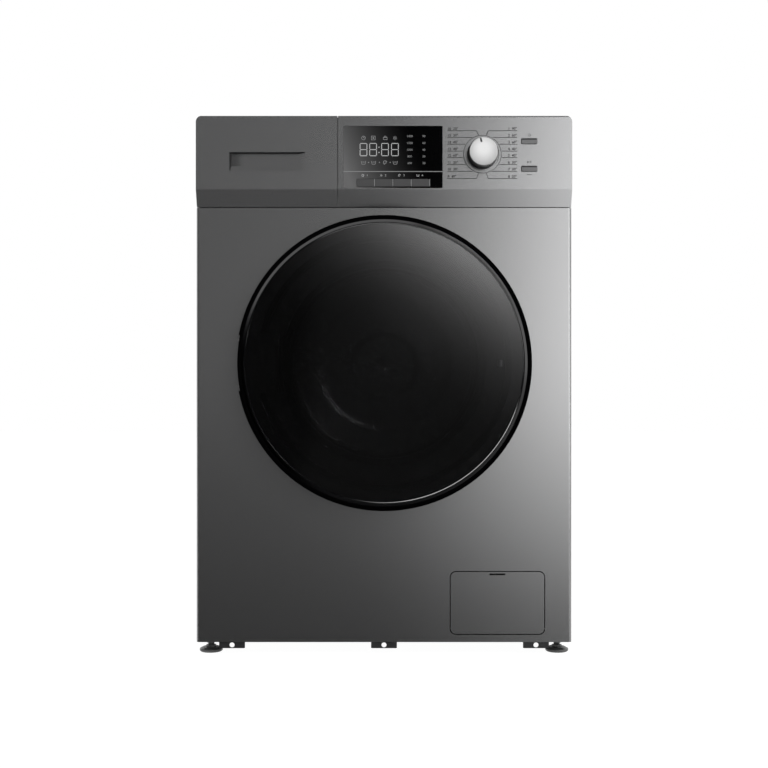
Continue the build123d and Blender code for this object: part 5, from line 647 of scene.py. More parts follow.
class WASHER_OT_display(bpy.types.Operator):
    """Print the display's digits, signs, numbers and lines"""
    bl_idname = "washer.display"
    bl_label = "Display print"

    def execute(self, context):
        size, look = context.scene.washer_sizes, context.scene.washer_finishes
        y = FACE_Y - PRINT_LIFT
        bm = bmesh.new()
        dot, sign, wash_sign, rule, divider = 0.0009, 0.0066, 0.0070, 0.0011, 0.0114
        for column in DIGIT_COLUMNS:
            add_digit(bm, photo_x(column), photo_z(DIGIT_ROW), size, y)
        for row in COLON_ROWS:
            add_prism(bm, disc(photo_x(COLON_COLUMN), photo_z(row), dot, 10), y)
        lines = bmesh.new()
        for kind, column in zip(("ring", "box", "lock", "star"), SIGN_COLUMNS):
            add_icon(lines, kind, photo_x(column), photo_z(SIGN_ROW), sign, y)
        for kind, column in zip(("tub", "tub", "swirl", "tub"), WASH_COLUMNS):
            add_icon(lines, kind, photo_x(column), photo_z(WASH_ROW), wash_sign, y)
        for a, b in zip(WASH_COLUMNS, WASH_COLUMNS[1:]):
            add_prism(lines, disc(photo_x((a + b) / 2), photo_z(DOT_ROW), dot, 10), y)
        speeds, heats = ("1400", "1200", "1000", "800", "600"), ("90", "60", "40", "30", "20")
        for numbers, column in ((speeds, SPEED_COLUMN), (heats, HEAT_COLUMN)):
            for words, row in zip(numbers, NUMBER_ROWS):
                add_number(lines, words, photo_x(column), photo_z(row), size.number_height * 0.85, y)
        low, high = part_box("display_window")
        add_prism(lines, rectangle((low.x + high.x) / 2, photo_z(RULE_ROW), high.x - low.x, rule), y)
        option_low, option_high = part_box("option_button_1")
        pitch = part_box("option_button_2")[0].x - option_low.x
        option_x, option_z = (option_low.x + option_high.x) / 2, (option_low.z + option_high.z) / 2
        sign_left, number_right, small_sign, small_number = 0.004, 0.003, 0.0042, 0.0030
        for i, kind in enumerate(("ring", "star", "swirl", "tub")):
            x, z = option_x + pitch * i, photo_z(OPTION_ROW)
            add_prism(lines, rectangle(option_x + pitch * (i + 0.5), option_z, rule, divider), y)
            add_icon(bm, kind, x - sign_left, z, small_sign, y)
            add_number(bm, str(i + 1), x + number_right, z, small_number, y)
        for name, part, color, glow in (("display_digits", bm, look.light_print, 0.18),
                                        ("display_lines", lines, look.grey_print, 0.05)):
            piece = add_object(name, mesh_from(part, name), "cabinet")
            piece.data.materials.append(print_material(name + "_ink", tuple(color), glow))
        return {"FINISHED"}


PROGRAMMES = ("90", "60", "60", "40", "40", "30", "30", "20", "40", "30", "20", "60", "40", "40", "30", "20")


def add_key_painted_shadow(name, node, body, ink):
    """Painted shadow: a dark line along the top of a key, where the key's top edge lies in shade."""
    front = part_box(node)[0].y
    face_depth = 0.0004
    face = [v.co for v in NODES[node].data.vertices if v.co.y < front + face_depth]
    left, right, top = min(p.x for p in face), max(p.x for p in face), max(p.z for p in face)
    height, inset = 0.0016, 0.0006
    bm = bmesh.new()
    lip = rectangle((left + right) / 2, top - inset - height / 2, right - left - 2 * inset, height)
    add_prism(bm, lip, front - PRINT_LIFT)
    add_object(name, mesh_from(bm, name), body, ink)


class WASHER_OT_dial_print(bpy.types.Operator):
    """Print the programme lines and numbers round the knob, the key signs and the pointer, and a painted shadow
    along the top of each key
    """
    bl_idname = "washer.dial_print"
    bl_label = "Dial print"

    def execute(self, context):
        size, look = context.scene.washer_sizes, context.scene.washer_finishes
        y = FACE_Y - PRINT_LIFT
        bm = bmesh.new()
        centre_x, centre_z = KNOB_AXIS.x, KNOB_AXIS.z
        reach, tip_rise, bend_out, tip_out = 0.0309, 0.0300, 0.0093, 0.0062
        number_in, number_lift = 0.0004, 0.0031
        for side, edge, align in ((-1, LINE_LEFT, "LEFT"), (1, LINE_RIGHT, "RIGHT")):
            start = photo_x(edge)
            for i, row in enumerate(LINE_ROWS):
                z = photo_z(row)
                rise = z - centre_z
                if abs(rise) < tip_rise:
                    end = centre_x + side * math.sqrt(reach ** 2 - rise ** 2)
                    add_prism(bm, stroke((start, z), (end, z), size.line_width), y)
                else:
                    bend = (centre_x + side * bend_out, z)
                    tip = (centre_x + side * tip_out, centre_z + math.copysign(tip_rise, rise))
                    add_prism(bm, stroke((start, z), bend, size.line_width), y)
                    add_prism(bm, stroke(bend, tip, size.line_width), y)
                number = 16 - i if side < 0 else i + 1
                words = f"{number}  {PROGRAMMES[number - 1]}\u00b0"
                add_number(bm, words, start - side * number_in, z + number_lift, size.number_height, y, align,
                           NUMBER_WEIGHT)
        outer, inner = 0.0301, 0.0294
        add_frame(bm, disc(centre_x, centre_z, outer, 64), disc(centre_x, centre_z, inner, 64), y)
        sign_x, power_z, start_z = photo_x(KEY_SIGN_COLUMN), photo_z(POWER_ROW), photo_z(START_ROW)
        radius, line, first, sweep, stem_low, stem_top = 0.0019, 0.0005, 2.1, 5.2, 0.0004, 0.0026
        add_prism(bm, arc_band(sign_x, power_z, radius, line, first, first + sweep), y)
        add_prism(bm, stroke((sign_x, power_z + stem_low), (sign_x, power_z + stem_top), line), y)
        left, tip, half, bar = sign_x - 0.0030, sign_x - 0.0002, 0.0018, 0.0007
        add_prism(bm, [(left, start_z - half), (tip, start_z), (left, start_z + half)], y)
        for shift in (0.0012, 0.0026):
            add_prism(bm, rectangle(sign_x + shift, start_z, bar, 2 * half), y)
        add_prism(bm, rectangle(sign_x, photo_z(BAR_ROW), 0.0080, bar), y)
        lines = add_object("dial_print", mesh_from(bm, "dial_print"), "cabinet")
        ink = print_material("dark_ink_and_painted_shadow", tuple(look.dark_print), 0.0)
        lines.data.materials.append(ink)
        # Painted shadow along the top of the power and start keys, in the dark ink that also prints the dial.
        for key in ("power", "start"):
            add_key_painted_shadow(f"{key}_key_lip", f"{key}_button", f"{key}_key", ink)
        mark = bmesh.new()
        turn, middle, mark_width, mark_length = math.radians(13), 0.0177, 0.0027, 0.0062
        x, z = centre_x - math.sin(turn) * middle, centre_z + math.cos(turn) * middle
        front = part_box("programme_knob")[0].y
        add_prism(mark, rectangle(x, z, mark_width, mark_length, turn), front - PRINT_LIFT)
        add_object("knob_pointer", mesh_from(mark, "knob_pointer"), "knob", ink)
        return {"FINISHED"}


# Drawer pocket and flap notch

def add_sheet(bm, columns, rows, depth, thick):
    """Closed sheet over a grid of x and z whose front follows a depth function."""
    layers = []
    for shift in (0.0, thick):
        layers.append([[bm.verts.new((x, depth(x, z) + shift, z)) for z in rows] for x in columns])
    front, back = layers
    last, top = len(columns) - 1, len(rows) - 1
    for layer in layers:
        for i in range(last):
            for j in range(top):
                bm.faces.new((layer[i][j], layer[i + 1][j], layer[i + 1][j + 1], layer[i][j + 1]))
    rim = [(i, 0) for i in range(last)] + [(last, j) for j in range(top)]
    rim += [(i, top) for i in range(last, 0, -1)] + [(0, j) for j in range(top, 0, -1)]
    for (i, j), (k, m) in zip(rim, rim[1:] + rim[:1]):
        bm.faces.new((front[i][j], front[k][m], back[k][m], back[i][j]))


def smooth_step(value):
    """Smooth rise from 0 to 1."""
    share = min(max(value, 0.0), 1.0)
    return share * share * (3 - 2 * share)


class WASHER_OT_pocket(bpy.types.Operator):
    """Scooped lining of the drawer's finger pocket, with painted shade at its left end, and above it a dark strip
    in the fingertip undercut as a painted shadow
    """
    bl_idname = "washer.pocket"
    bl_label = "Finger pocket"

    def execute(self, context):
        look = context.scene.washer_finishes
        middle, width, low, top = -0.184, 0.1186, 0.76535, 0.7934
        left, right = middle - width / 2, middle + width / 2
        deep, edge, wall, fade, thick = 0.0090, 0.0003, 0.0024, 0.010, 0.0006

        def depth(x, z):
            scoop = math.sin(math.pi / 2 * min((z - low) / (top - low), 1.0) ** 0.9)
            ends = smooth_step((x - left) / wall) * smooth_step((right - x) / fade)
            return FACE_Y + edge + (deep - edge) * scoop * ends

        near_end = [wall * i / 4 for i in range(4)]
        columns = [left + x for x in near_end] + [left + wall + (width - wall) * i / 48 for i in range(49)]
        rows = [low + (top - low) * j / 16 for j in range(17)]
        bm = bmesh.new()
        add_sheet(bm, columns, rows, depth, thick)
        mesh = mesh_from(bm, "pocket_lining", True)
        mesh.set_sharp_from_angle(angle=math.radians(40))
        finish = grained("pocket_lacquer_painted_shade", look.lacquer, look.paint_gloss, **LACQUER_GRAIN)
        lacquer, tree, shader, grain = finish
        # Painted shade: the lining darkens towards its left end, and its steep left wall is darker still.
        shade_end, shade_full, soft = 0.024, 0.006, 0.001
        shade_tint, wall_shade_tint = (0.24, 0.241, 0.243), (0.14, 0.14, 0.141)
        shade = ramp_along(tree, "X", left + shade_end, left + shade_full)
        tint = mix_colours(tree, shade, grain.outputs["Color"], shade_tint)
        wall_shade = ramp_along(tree, "X", left + wall + soft, left + wall - soft)
        tree.links.new(mix_colours(tree, wall_shade, tint, wall_shade_tint), shader.inputs["Base Color"])
        bend_normal(tree, shader, "MULTIPLY").default_value = (0, 1, 1)
        add_object("pocket_lining", mesh, "drawer", lacquer)
        # Painted shadow: a dark strip set in the undercut above the lining, where the fingertip recess lies in
        # shade.
        slot_low, slot_top, slot_height, slot_back, slot_thick = 0.7930, 0.7985, 0.0055, 0.0106, 0.0008
        slot = bmesh.new()
        outline = rectangle(middle, (slot_low + slot_top) / 2, width, slot_height)
        add_prism(slot, outline, FACE_Y + slot_back, slot_thick)
        # Dark moulding used here as painted shadow.
        dark = NODES["dampers"].data.materials[0]
        add_object("finger_slot", mesh_from(slot, "finger_slot"), "drawer", dark)
        return {"FINISHED"}


class WASHER_OT_flap_lip(bpy.types.Operator):
    """Painted lip across the filter flap's notch, over a narrow slit"""
    bl_idname = "washer.flap_lip"
    bl_label = "Flap lip"

    def execute(self, context):
        low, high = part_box("filter_flap")
        middle = (low.x + high.x) / 2
        half, slit, sunk, thick = 0.0173, 0.0124, 0.0025, 0.0019
        top, bottom, edge = high.z - 0.0001, high.z - 0.0051, high.z - 0.0026
        outline = [(-half, top), (-half, bottom), (-slit, bottom), (-slit, edge), (slit, edge), (slit, bottom),
                   (half, bottom), (half, top)]
        bm = bmesh.new()
        add_prism(bm, [(middle + x, z) for x, z in outline], low.y + sunk, thick)
        paint = NODES["filter_flap"].data.materials[0]
        add_object("flap_lip", mesh_from(bm, "flap_lip"), "flap", paint)
        return {"FINISHED"}


# Rubber

GASKET_LINE = (
    (151.5, 25.5), (154.5, 20.5), (159.0, 16.8), (164.0, 15.3), (167.2, 16.8), (168.2, 19.5), (168.2, 26.0),
    (168.2, 33.0), (171.0, 36.6), (177.0, 39.8), (181.2, 43.2), (182.2, 46.5), (180.8, 50.2), (175.0, 53.6),
    (170.6, 56.0),
    (169.4, 58.6), (171.0, 61.2), (177.0, 64.0), (182.0, 66.8), (183.8, 70.0), (183.8, 76.0), (183.8, 84.0),
    (183.8, 94.5),
)


def turned_ring(outline, count, closed=True):
    """Solid of an outline of radii and depths in millimetres, turned about the drum's axis."""
    bm = bmesh.new()
    rings = []
    for k in range(count):
        angle = math.tau * k / count
        c, s = math.cos(angle), math.sin(angle)
        rings.append([bm.verts.new((r * MM * c, FRONT_Y + depth * MM, DRUM_AXIS.z + r * MM * s))
                      for r, depth in outline])
    for k in range(count):
        a, b = rings[k], rings[(k + 1) % count]
        for i in range(len(outline) if closed else len(outline) - 1):
            j = (i + 1) % len(outline)
            bm.faces.new((a[i], a[j], b[j], b[i]))
    return bm


def band_outline(line, thick):
    """Outline of a strip of even thickness along a line."""
    points = [Vector(point) for point in line]
    sides = ([], [])
    for i, point in enumerate(points):
        run = points[min(i + 1, len(points) - 1)] - points[max(i - 1, 0)]
        normal = Vector((run.y, -run.x)).normalized() * thick / 2
        sides[0].append(point + normal)
        sides[1].append(point - normal)
    return sides[0] + sides[1][::-1]


TRIM_LINES = {
    "door_trim": ((219.4, -30.85), (219.8, -32.60), (223.9, -31.35), (223.5, -31.10)),
    "glass_line": ((217.2, -30.90), (217.6, -31.70), (219.4, -31.05), (219.2, -30.85)),
}


def crowned(crown, reach, rim, count):
    """Section of a shallow dome from its middle to its rim, radii and depths in millimetres."""
    rise = rim - crown
    ball = (reach ** 2 + rise ** 2) / (2 * rise)
    radii = [reach * i / count for i in range(count + 1)]
    return [(r, crown + ball - math.sqrt(ball ** 2 - r ** 2)) for r in radii]


class WASHER_OT_cover_glass(bpy.types.Operator):
    """Domed smoked glass that covers the door"""
    bl_idname = "washer.cover_glass"
    bl_label = "Cover glass"

    def execute(self, context):
        low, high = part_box("door_glass")
        radius = (high.x - low.x) / 2 / MM
        front, back = (low.y - FRONT_Y) / MM, (high.y - FRONT_Y) / MM
        bevel, edge, seat, thick = 1.5, 3.4, 7.2, 4.0
        outer = crowned(front, radius - bevel, back - edge, 24)
        inner = crowned(front + thick, radius - seat, back, 12)
        outline = outer + [(radius, back - edge + bevel), (radius, back)] + inner[::-1]
        mesh = mesh_from(turned_ring(outline, 180, closed=False), "cover_glass", True)
        mesh.set_sharp_from_angle(angle=math.radians(25))
        glass = NODES["door_glass"].data.materials[0]
        cover = add_object("cover_glass", mesh, "door", glass)
        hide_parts("door_glass")
        return {"FINISHED"}


class WASHER_OT_trim(bpy.types.Operator):
    """Gloss trim over the joint of ring and cover glass, its gloss turned off at the lower left as painted shade,
    and a fine raised line inside it
    """
    bl_idname = "washer.trim"
    bl_label = "Door trim"

    def execute(self, context):
        grain = {"color": (0.004, 0.004, 0.0045), "roughness": 0.14, "scale": 700, "variation": 0.2,
                 "spread": 0.04, "bump": 0.005}
        gloss = grained("trim_gloss", **grain)[0]
        shaded, tree, shader, _ = grained("trim_shaded", **grain)
        # Painted shade: metallic black on the lower left leaves no reflection there, and the trim stays glossy
        # elsewhere.
        run, rise, radius, start, end = -0.94, -0.34, 0.222, 0.62, 0.93
        middle = rise * DRUM_AXIS.z
        painted_shade = slanted_ramp(tree, run, rise, middle + start * radius, middle + end * radius)
        tree.links.new(painted_shade, shader.inputs["Metallic"])
        finishes = {"door_trim": shaded, "glass_line": gloss}
        for name, outline in TRIM_LINES.items():
            mesh = mesh_from(turned_ring(outline, 192), name)
            add_object(name, mesh, "door", finishes[name])
        return {"FINISHED"}


class WASHER_OT_gasket(bpy.types.Operator):
    """Moulded rubber bellows between the front panel and the tub"""
    bl_idname = "washer.gasket"
    bl_label = "Door gasket"

    def execute(self, context):
        bm = turned_ring(band_outline(GASKET_LINE, 2.6), 96)
        color = tuple(context.scene.washer_finishes.rubber)
        rubber = grained("gasket_rubber", color, 0.5, scale=500, variation=0.12, spread=0.16, bump=0.10)[0]
        mesh = mesh_from(bm, "gasket_bellows", True)
        gasket = add_object("gasket_bellows", mesh, "cabinet", rubber)
        smoothing = gasket.modifiers.new("Soft edges", "SUBSURF")
        smoothing.levels = smoothing.render_levels = 1
        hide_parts("door_gasket")
        return {"FINISHED"}


# What repeats

def new_tree(name, sockets):
    """Geometry tree with named inputs, and its input and output nodes."""
    tree = bpy.data.node_groups.new(name, "GeometryNodeTree")
    tree.interface.new_socket(name="Geometry", in_out="INPUT", socket_type="NodeSocketGeometry")
    for socket, kind in sockets:
        tree.interface.new_socket(name=socket, in_out="INPUT", socket_type=kind)
    tree.interface.new_socket(name="Geometry", in_out="OUTPUT", socket_type="NodeSocketGeometry")
    return tree, add_node(tree, "NodeGroupInput"), add_node(tree, "NodeGroupOutput")


def finish_tree(tree, geometry, start, end):
    """Last nodes of a tree: real geometry with the given material."""
    real = add_node(tree, "GeometryNodeRealizeInstances", {"Geometry": geometry})
    paint = add_node(tree, "GeometryNodeSetMaterial", {"Geometry": real.outputs["Geometry"],
                                                       "Material": start.outputs["Material"]})
    tree.links.new(paint.outputs["Geometry"], end.inputs["Geometry"])


def bake_tree(name, tree, values, source=None):
    """Plain mesh of a geometry tree run with these input values."""
    holder = place_object(name, source or bpy.data.meshes.new(name))
    modifier = holder.modifiers.new(name, "NODES")
    modifier.node_group = tree
    for item in tree.interface.items_tree:
        if item.in_out == "INPUT" and item.name in values:
            modifier[item.identifier] = values[item.name]
    bpy.context.view_layer.update()
    depsgraph = bpy.context.evaluated_depsgraph_get()
    mesh = bpy.data.meshes.new_from_object(holder.evaluated_get(depsgraph), depsgraph=depsgraph)
    bpy.data.objects.remove(holder)
    mesh.name = name
    return mesh


def perforation_tree():
    """Discs in staggered rows on the inside of a drum whose axis runs front to back."""
    real = "NodeSocketFloat"
    tree, start, end = new_tree("Drum perforations", [
        ("Columns", "NodeSocketInt"), ("Rows", "NodeSocketInt"), ("Radius", real), ("Front", real),
        ("Length", real), ("Axis Height", real), ("Hole", real), ("Material", "NodeSocketMaterial"),
    ])
    port = start.outputs
    points = add_node(tree, "GeometryNodeMeshLine", {"Count": times(tree, port["Columns"], port["Rows"])})
    index = add_node(tree, "GeometryNodeInputIndex").outputs[0]
    row = math_node(tree, "FLOOR", math_node(tree, "DIVIDE", index, port["Columns"]), 0)
    column = math_node(tree, "MODULO", index, port["Columns"])
    stagger = times(tree, math_node(tree, "MODULO", row, 2), 0.5)
    share = math_node(tree, "DIVIDE", plus(tree, column, stagger), port["Columns"])
    angle = times(tree, share, math.tau)
    step = math_node(tree, "DIVIDE", port["Length"], port["Rows"])
    depth = plus(tree, port["Front"], times(tree, plus(tree, row, 0.5), step))
    cosine, sine = math_node(tree, "COSINE", angle, 0), math_node(tree, "SINE", angle, 0)
    place = vector(tree, X=times(tree, cosine, port["Radius"]), Y=depth,
                   Z=plus(tree, times(tree, sine, port["Radius"]), port["Axis Height"]))
    moved = add_node(tree, "GeometryNodeSetPosition", {"Geometry": points.outputs["Mesh"], "Position": place})
    inward = vector(tree, X=times(tree, cosine, -1.0), Z=times(tree, sine, -1.0))
    turn = add_node(tree, "FunctionNodeAlignEulerToVector", {"Vector": inward}, axis="Z")
    hole = add_node(tree, "GeometryNodeMeshCylinder", {"Vertices": 10, "Depth": 0.0002, "Radius": port["Hole"]},
                    fill_type="NGON")
    copies = add_node(tree, "GeometryNodeInstanceOnPoints", {
        "Points": moved.outputs["Geometry"], "Instance": hole.outputs["Mesh"], "Rotation": turn.outputs["Rotation"],
    })
    finish_tree(tree, copies.outputs["Instances"], start, end)
    return tree


class WASHER_OT_perforations(bpy.types.Operator):
    """Punch the look of small holes into the drum's wall, as dark discs of painted shade"""
    bl_idname = "washer.perforations"
    bl_label = "Drum perforations"

    def execute(self, context):
        size = context.scene.washer_sizes
        low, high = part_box("drum_shell")
        inset, front_rim, rims = 0.00125, 0.026, 0.048
        # Painted shade: near-black discs stand for the shaded gap behind each hole.
        dark = grained("hole_painted_shade", (0.012, 0.012, 0.012), 0.6, scale=900, variation=0.2, spread=0.1,
                       bump=0.05)[0]
        mesh = bake_tree("drum_holes", perforation_tree(), {
            "Columns": size.hole_columns, "Rows": size.hole_rows, "Radius": (high.x - low.x) / 2 - inset,
            "Front": low.y + front_rim, "Length": high.y - low.y - rims, "Axis Height": DRUM_AXIS.z,
            "Hole": size.hole_radius, "Material": dark,
        })
        add_object("drum_holes", mesh, "drum")
        return {"FINISHED"}


def spring_tree():
    """Two wound springs with straight hanger ends, left and right of the tub."""
    real = "NodeSocketFloat"
    tree, start, end = new_tree("Suspension springs", [
        ("Turns", real), ("Radius", real), ("Wire", real), ("Bottom", real), ("Top", real), ("Low End", real),
        ("High End", real), ("X", real), ("Y", real), ("Material", "NodeSocketMaterial"),
    ])
    link, port = tree.links.new, start.outputs
    coil = add_node(tree, "GeometryNodeCurveSpiral", {
        "Resolution": 14, "Rotations": port["Turns"], "Start Radius": port["Radius"], "End Radius": port["Radius"],
        "Height": math_node(tree, "SUBTRACT", port["Top"], port["Bottom"]),
    })
    lifted = add_node(tree, "GeometryNodeTransform", {"Geometry": coil.outputs["Curve"],
                                                      "Translation": vector(tree, Z=port["Bottom"])})
    join = add_node(tree, "GeometryNodeJoinGeometry")
    link(lifted.outputs["Geometry"], join.inputs["Geometry"])
    for near, far in (("Bottom", "Low End"), ("Top", "High End")):
        ends = {"Start": vector(tree, Z=port[near]), "End": vector(tree, Z=port[far])}
        line = add_node(tree, "GeometryNodeCurvePrimitiveLine", ends)
        link(line.outputs["Curve"], join.inputs["Geometry"])
    profile = add_node(tree, "GeometryNodeCurvePrimitiveCircle", {"Resolution": 8, "Radius": port["Wire"]})
    solid = add_node(tree, "GeometryNodeCurveToMesh", {
        "Curve": join.outputs["Geometry"], "Profile Curve": profile.outputs["Curve"], "Fill Caps": True,
    })
    both = add_node(tree, "GeometryNodeJoinGeometry")
    for side in (-1.0, 1.0):
        shift = vector(tree, X=times(tree, port["X"], side), Y=port["Y"])
        placed = add_node(tree, "GeometryNodeTransform", {"Geometry": solid.outputs["Mesh"], "Translation": shift})
        link(placed.outputs["Geometry"], both.inputs["Geometry"])
    finish_tree(tree, both.outputs["Geometry"], start, end)
    return tree


class WASHER_OT_springs(bpy.types.Operator):
    """Wind the two springs that the tub hangs from"""
    bl_idname = "washer.springs"
    bl_label = "Suspension springs"

    def execute(self, context):
        size = context.scene.washer_sizes
        low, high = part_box("suspension_springs")
        radius = (high.y - low.y) / 2
        wire, low_hook, high_hook, margin = size.spring_wire, 0.032, 0.030, 0.001
        mesh = bake_tree("wound_springs", spring_tree(), {
            "Turns": float(size.spring_turns), "Radius": radius - wire, "Wire": wire,
            "Bottom": low.z + low_hook, "Top": high.z - high_hook, "Low End": low.z + margin,
            "High End": high.z - margin, "X": high.x - radius, "Y": (low.y + high.y) / 2,
            "Material": NODES["suspension_springs"].data.materials[0],
        })
        mesh.shade_smooth()
        springs = add_object("wound_springs", mesh, "cabinet")
        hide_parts("suspension_springs")
        return {"FINISHED"}


PUMP_Z = JOINTS["filter_turn"]["pos_m"][2] / MM

# Route in millimetres across, back from the front and up, then radius, rib and pitch
HOSES = {
    "fill_hose": (((-200, 261.5, 778), (-200, 340, 778), (-200, 420, 778), (-200, 494, 778)), 10.6, 0.5, 5.0),
    "dispenser_hose": (((-184, 148.5, 666.2), (-184, 148.5, 684), (-184, 148.5, 702), (-184, 148.5, 720)),
                       21.8, 2.4, 12.0),
    "sump_hose": (((0, 230, 187), (0, 230, 150), (0, 230, 108), (22, 190, 88), (56, 110, PUMP_Z),
                   (84, 87, PUMP_Z), (142.5, 86.3, PUMP_Z)), 18.6, 0.9, 7.0),
    "drain_hose": (((211, 141.3, PUMP_Z), (240, 141.3, PUMP_Z), (260, 146, 84), (262, 172, 85), (262, 220, 90),
                    (262, 260, 92), (262, 400, 92), (262, 534, 92)), 10.6, 0.5, 5.0),
}


def hose_tree():
    """Ribbed hose along a curve."""
    real = "NodeSocketFloat"
    tree, start, end = new_tree("Ribbed hose", [
        ("Radius", real), ("Rib", real), ("Pitch", real), ("Material", "NodeSocketMaterial"),
    ])
    port = start.outputs
    even = add_node(tree, "GeometryNodeResampleCurve", {
        "Curve": port["Geometry"], "Length": math_node(tree, "DIVIDE", port["Pitch"], 4.0),
    }, mode="LENGTH")
    along = add_node(tree, "GeometryNodeSplineParameter").outputs["Length"]
    turn = times(tree, math_node(tree, "DIVIDE", along, port["Pitch"]), math.tau)
    ripple = times(tree, math_node(tree, "SINE", turn, 0), port["Rib"])
    profile = add_node(tree, "GeometryNodeCurvePrimitiveCircle", {"Resolution": 18, "Radius": 1.0})
    solid = add_node(tree, "GeometryNodeCurveToMesh", {
        "Curve": even.outputs["Curve"], "Profile Curve": profile.outputs["Curve"], "Fill Caps": True,
        "Scale": plus(tree, port["Radius"], ripple),
    })
    finish_tree(tree, solid.outputs["Mesh"], start, end)
    return tree


class WASHER_OT_hoses(bpy.types.Operator):
    """Ribbed rubber hoses inside the cabinet"""
    bl_idname = "washer.hoses"
    bl_label = "Internal hoses"

    def execute(self, context):
        tree = hose_tree()
        rubber = NODES["internal_hoses"].data.materials[0]
        joined = bmesh.new()
        for name, (route, radius, rib, pitch) in HOSES.items():
            curve = bpy.data.curves.new(name, "CURVE")
            curve.dimensions = "3D"
            spline = curve.splines.new("NURBS")
            spline.points.add(len(route) - 1)
            for point, (x, depth, z) in zip(spline.points, route):
                point.co = (x * MM, FRONT_Y + depth * MM, z * MM, 1)
            spline.order_u = 3
            spline.use_endpoint_u = True
            mesh = bake_tree(name, tree, {"Radius": radius * MM, "Rib": rib * MM, "Pitch": pitch * MM,
                                          "Material": rubber}, curve)
            joined.from_mesh(mesh)
        mesh = mesh_from(joined, "ribbed_hoses", True)
        hoses = add_object("ribbed_hoses", mesh, "cabinet", rubber)
        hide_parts("internal_hoses")
        return {"FINISHED"}


def belt_path(big, small, span, count):
    """Points and outward directions round two pulleys, the big one at the origin."""
    lean = math.acos((big - small) / span.length)
    toward = math.atan2(span.y, span.x)
    arcs = (((0.0, 0.0), big, toward + lean, toward + math.tau - lean),
            (tuple(span), small, toward - lean, toward + lean))
    path = []
    for centre, radius, first, last in arcs:
        steps = count if radius > small else count // 4
        for i in range(steps + 1):
            angle = first + (last - first) * i / steps
            path.append((Vector(centre), angle, radius))
    return path


class WASHER_OT_belt(bpy.types.Operator):
    """Ribbed belt from the motor to the drum pulley"""
    bl_idname = "washer.belt"
    bl_label = "Drive belt"

    def execute(self, context):
        low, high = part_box("drive_belt")
        pulley_low, pulley_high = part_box("drum_pulley")
        motor_low, motor_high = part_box("motor_pulley")
        gap, thick, lip, ribs, groove, crest = 0.0003, 0.004, 0.002, 6, 0.0016, 0.0001
        big = (pulley_high.x - pulley_low.x) / 2 - lip + gap
        small = (motor_high.x - motor_low.x) / 2 - lip + gap
        span = Vector((MOTOR_AXIS.x - DRUM_AXIS.x, MOTOR_AXIS.z - DRUM_AXIS.z))
        pitch = (high.y - low.y) / ribs
        section = [(thick, low.y), (thick, high.y)]
        for i in range(ribs):
            right = high.y - pitch * i
            section += [(groove, right), (crest, right - pitch * 0.35), (crest, right - pitch * 0.65)]
        section.append((groove, low.y))
        bm = bmesh.new()
        rings = []
        for centre, angle, radius in belt_path(big, small, span, 72):
            ray = Vector((math.cos(angle), math.sin(angle)))
            ring = []
            for out, y in section:
                point = centre + ray * (radius + out)
                ring.append(bm.verts.new((DRUM_AXIS.x + point.x, y, DRUM_AXIS.z + point.y)))
            rings.append(ring)
        for a, b in zip(rings, rings[1:] + rings[:1]):
            for i in range(len(section)):
                j = (i + 1) % len(section)
                bm.faces.new((a[i], a[j], b[j], b[i]))
        rubber = NODES["drive_belt"].data.materials[0]
        belt = add_object("ribbed_belt", mesh_from(bm, "ribbed_belt"), "tub", rubber)
        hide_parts("drive_belt")
        return {"FINISHED"}


# Stage

def seen_mask(tree):
    """1 for rays from the camera and for reflections and glass that show the background."""
    path = add_node(tree, "ShaderNodeLightPath")
    names = ("Is Camera Ray", "Is Glossy Ray", "Is Transmission Ray")
    first = math_node(tree, "MAXIMUM", path.outputs[names[0]], path.outputs[names[1]])
    return math_node(tree, "MAXIMUM", first, path.outputs[names[2]])


def mix_shaders(tree, mask, first, second, output):
    """Surface between two shaders by a mask."""
    mix = add_node(tree, "ShaderNodeMixShader", {0: mask, 1: first.outputs[0], 2: second.outputs[0]})
    tree.links.new(mix.outputs[0], output.inputs["Surface"])


def build_world(strength):
    """White background and an even, lower room light."""
    world = bpy.data.worlds.new("white_room")
    bpy.context.scene.world = world
    world.use_nodes = True
    tree = world.node_tree
    tree.nodes.clear()
    output = add_node(tree, "ShaderNodeOutputWorld")
    white = (1, 1, 1, 1)
    room = add_node(tree, "ShaderNodeBackground", {"Color": white, "Strength": strength})
    shown = add_node(tree, "ShaderNodeBackground", {"Color": white, "Strength": 1.0})
    mix_shaders(tree, seen_mask(tree), room, shown, output)


def build_floor():
    """Pale floor that keeps a soft shadow under the machine."""
    bm = bmesh.new()
    bmesh.ops.create_grid(bm, x_segments=1, y_segments=1, size=9.0)
    floor = place_object("floor", mesh_from(bm, "floor"))
    material, tree, output = blank_material("floor_white")
    pale, white, share = 0.92, 1.14, 0.86
    matte = add_node(tree, "ShaderNodeBsdfDiffuse", {"Color": (pale, pale, pale, 1)})
    glow = add_node(tree, "ShaderNodeEmission", {"Strength": white})
    mix_shaders(tree, times(tree, seen_mask(tree), share), matte, glow, output)
    floor.data.materials.append(material)


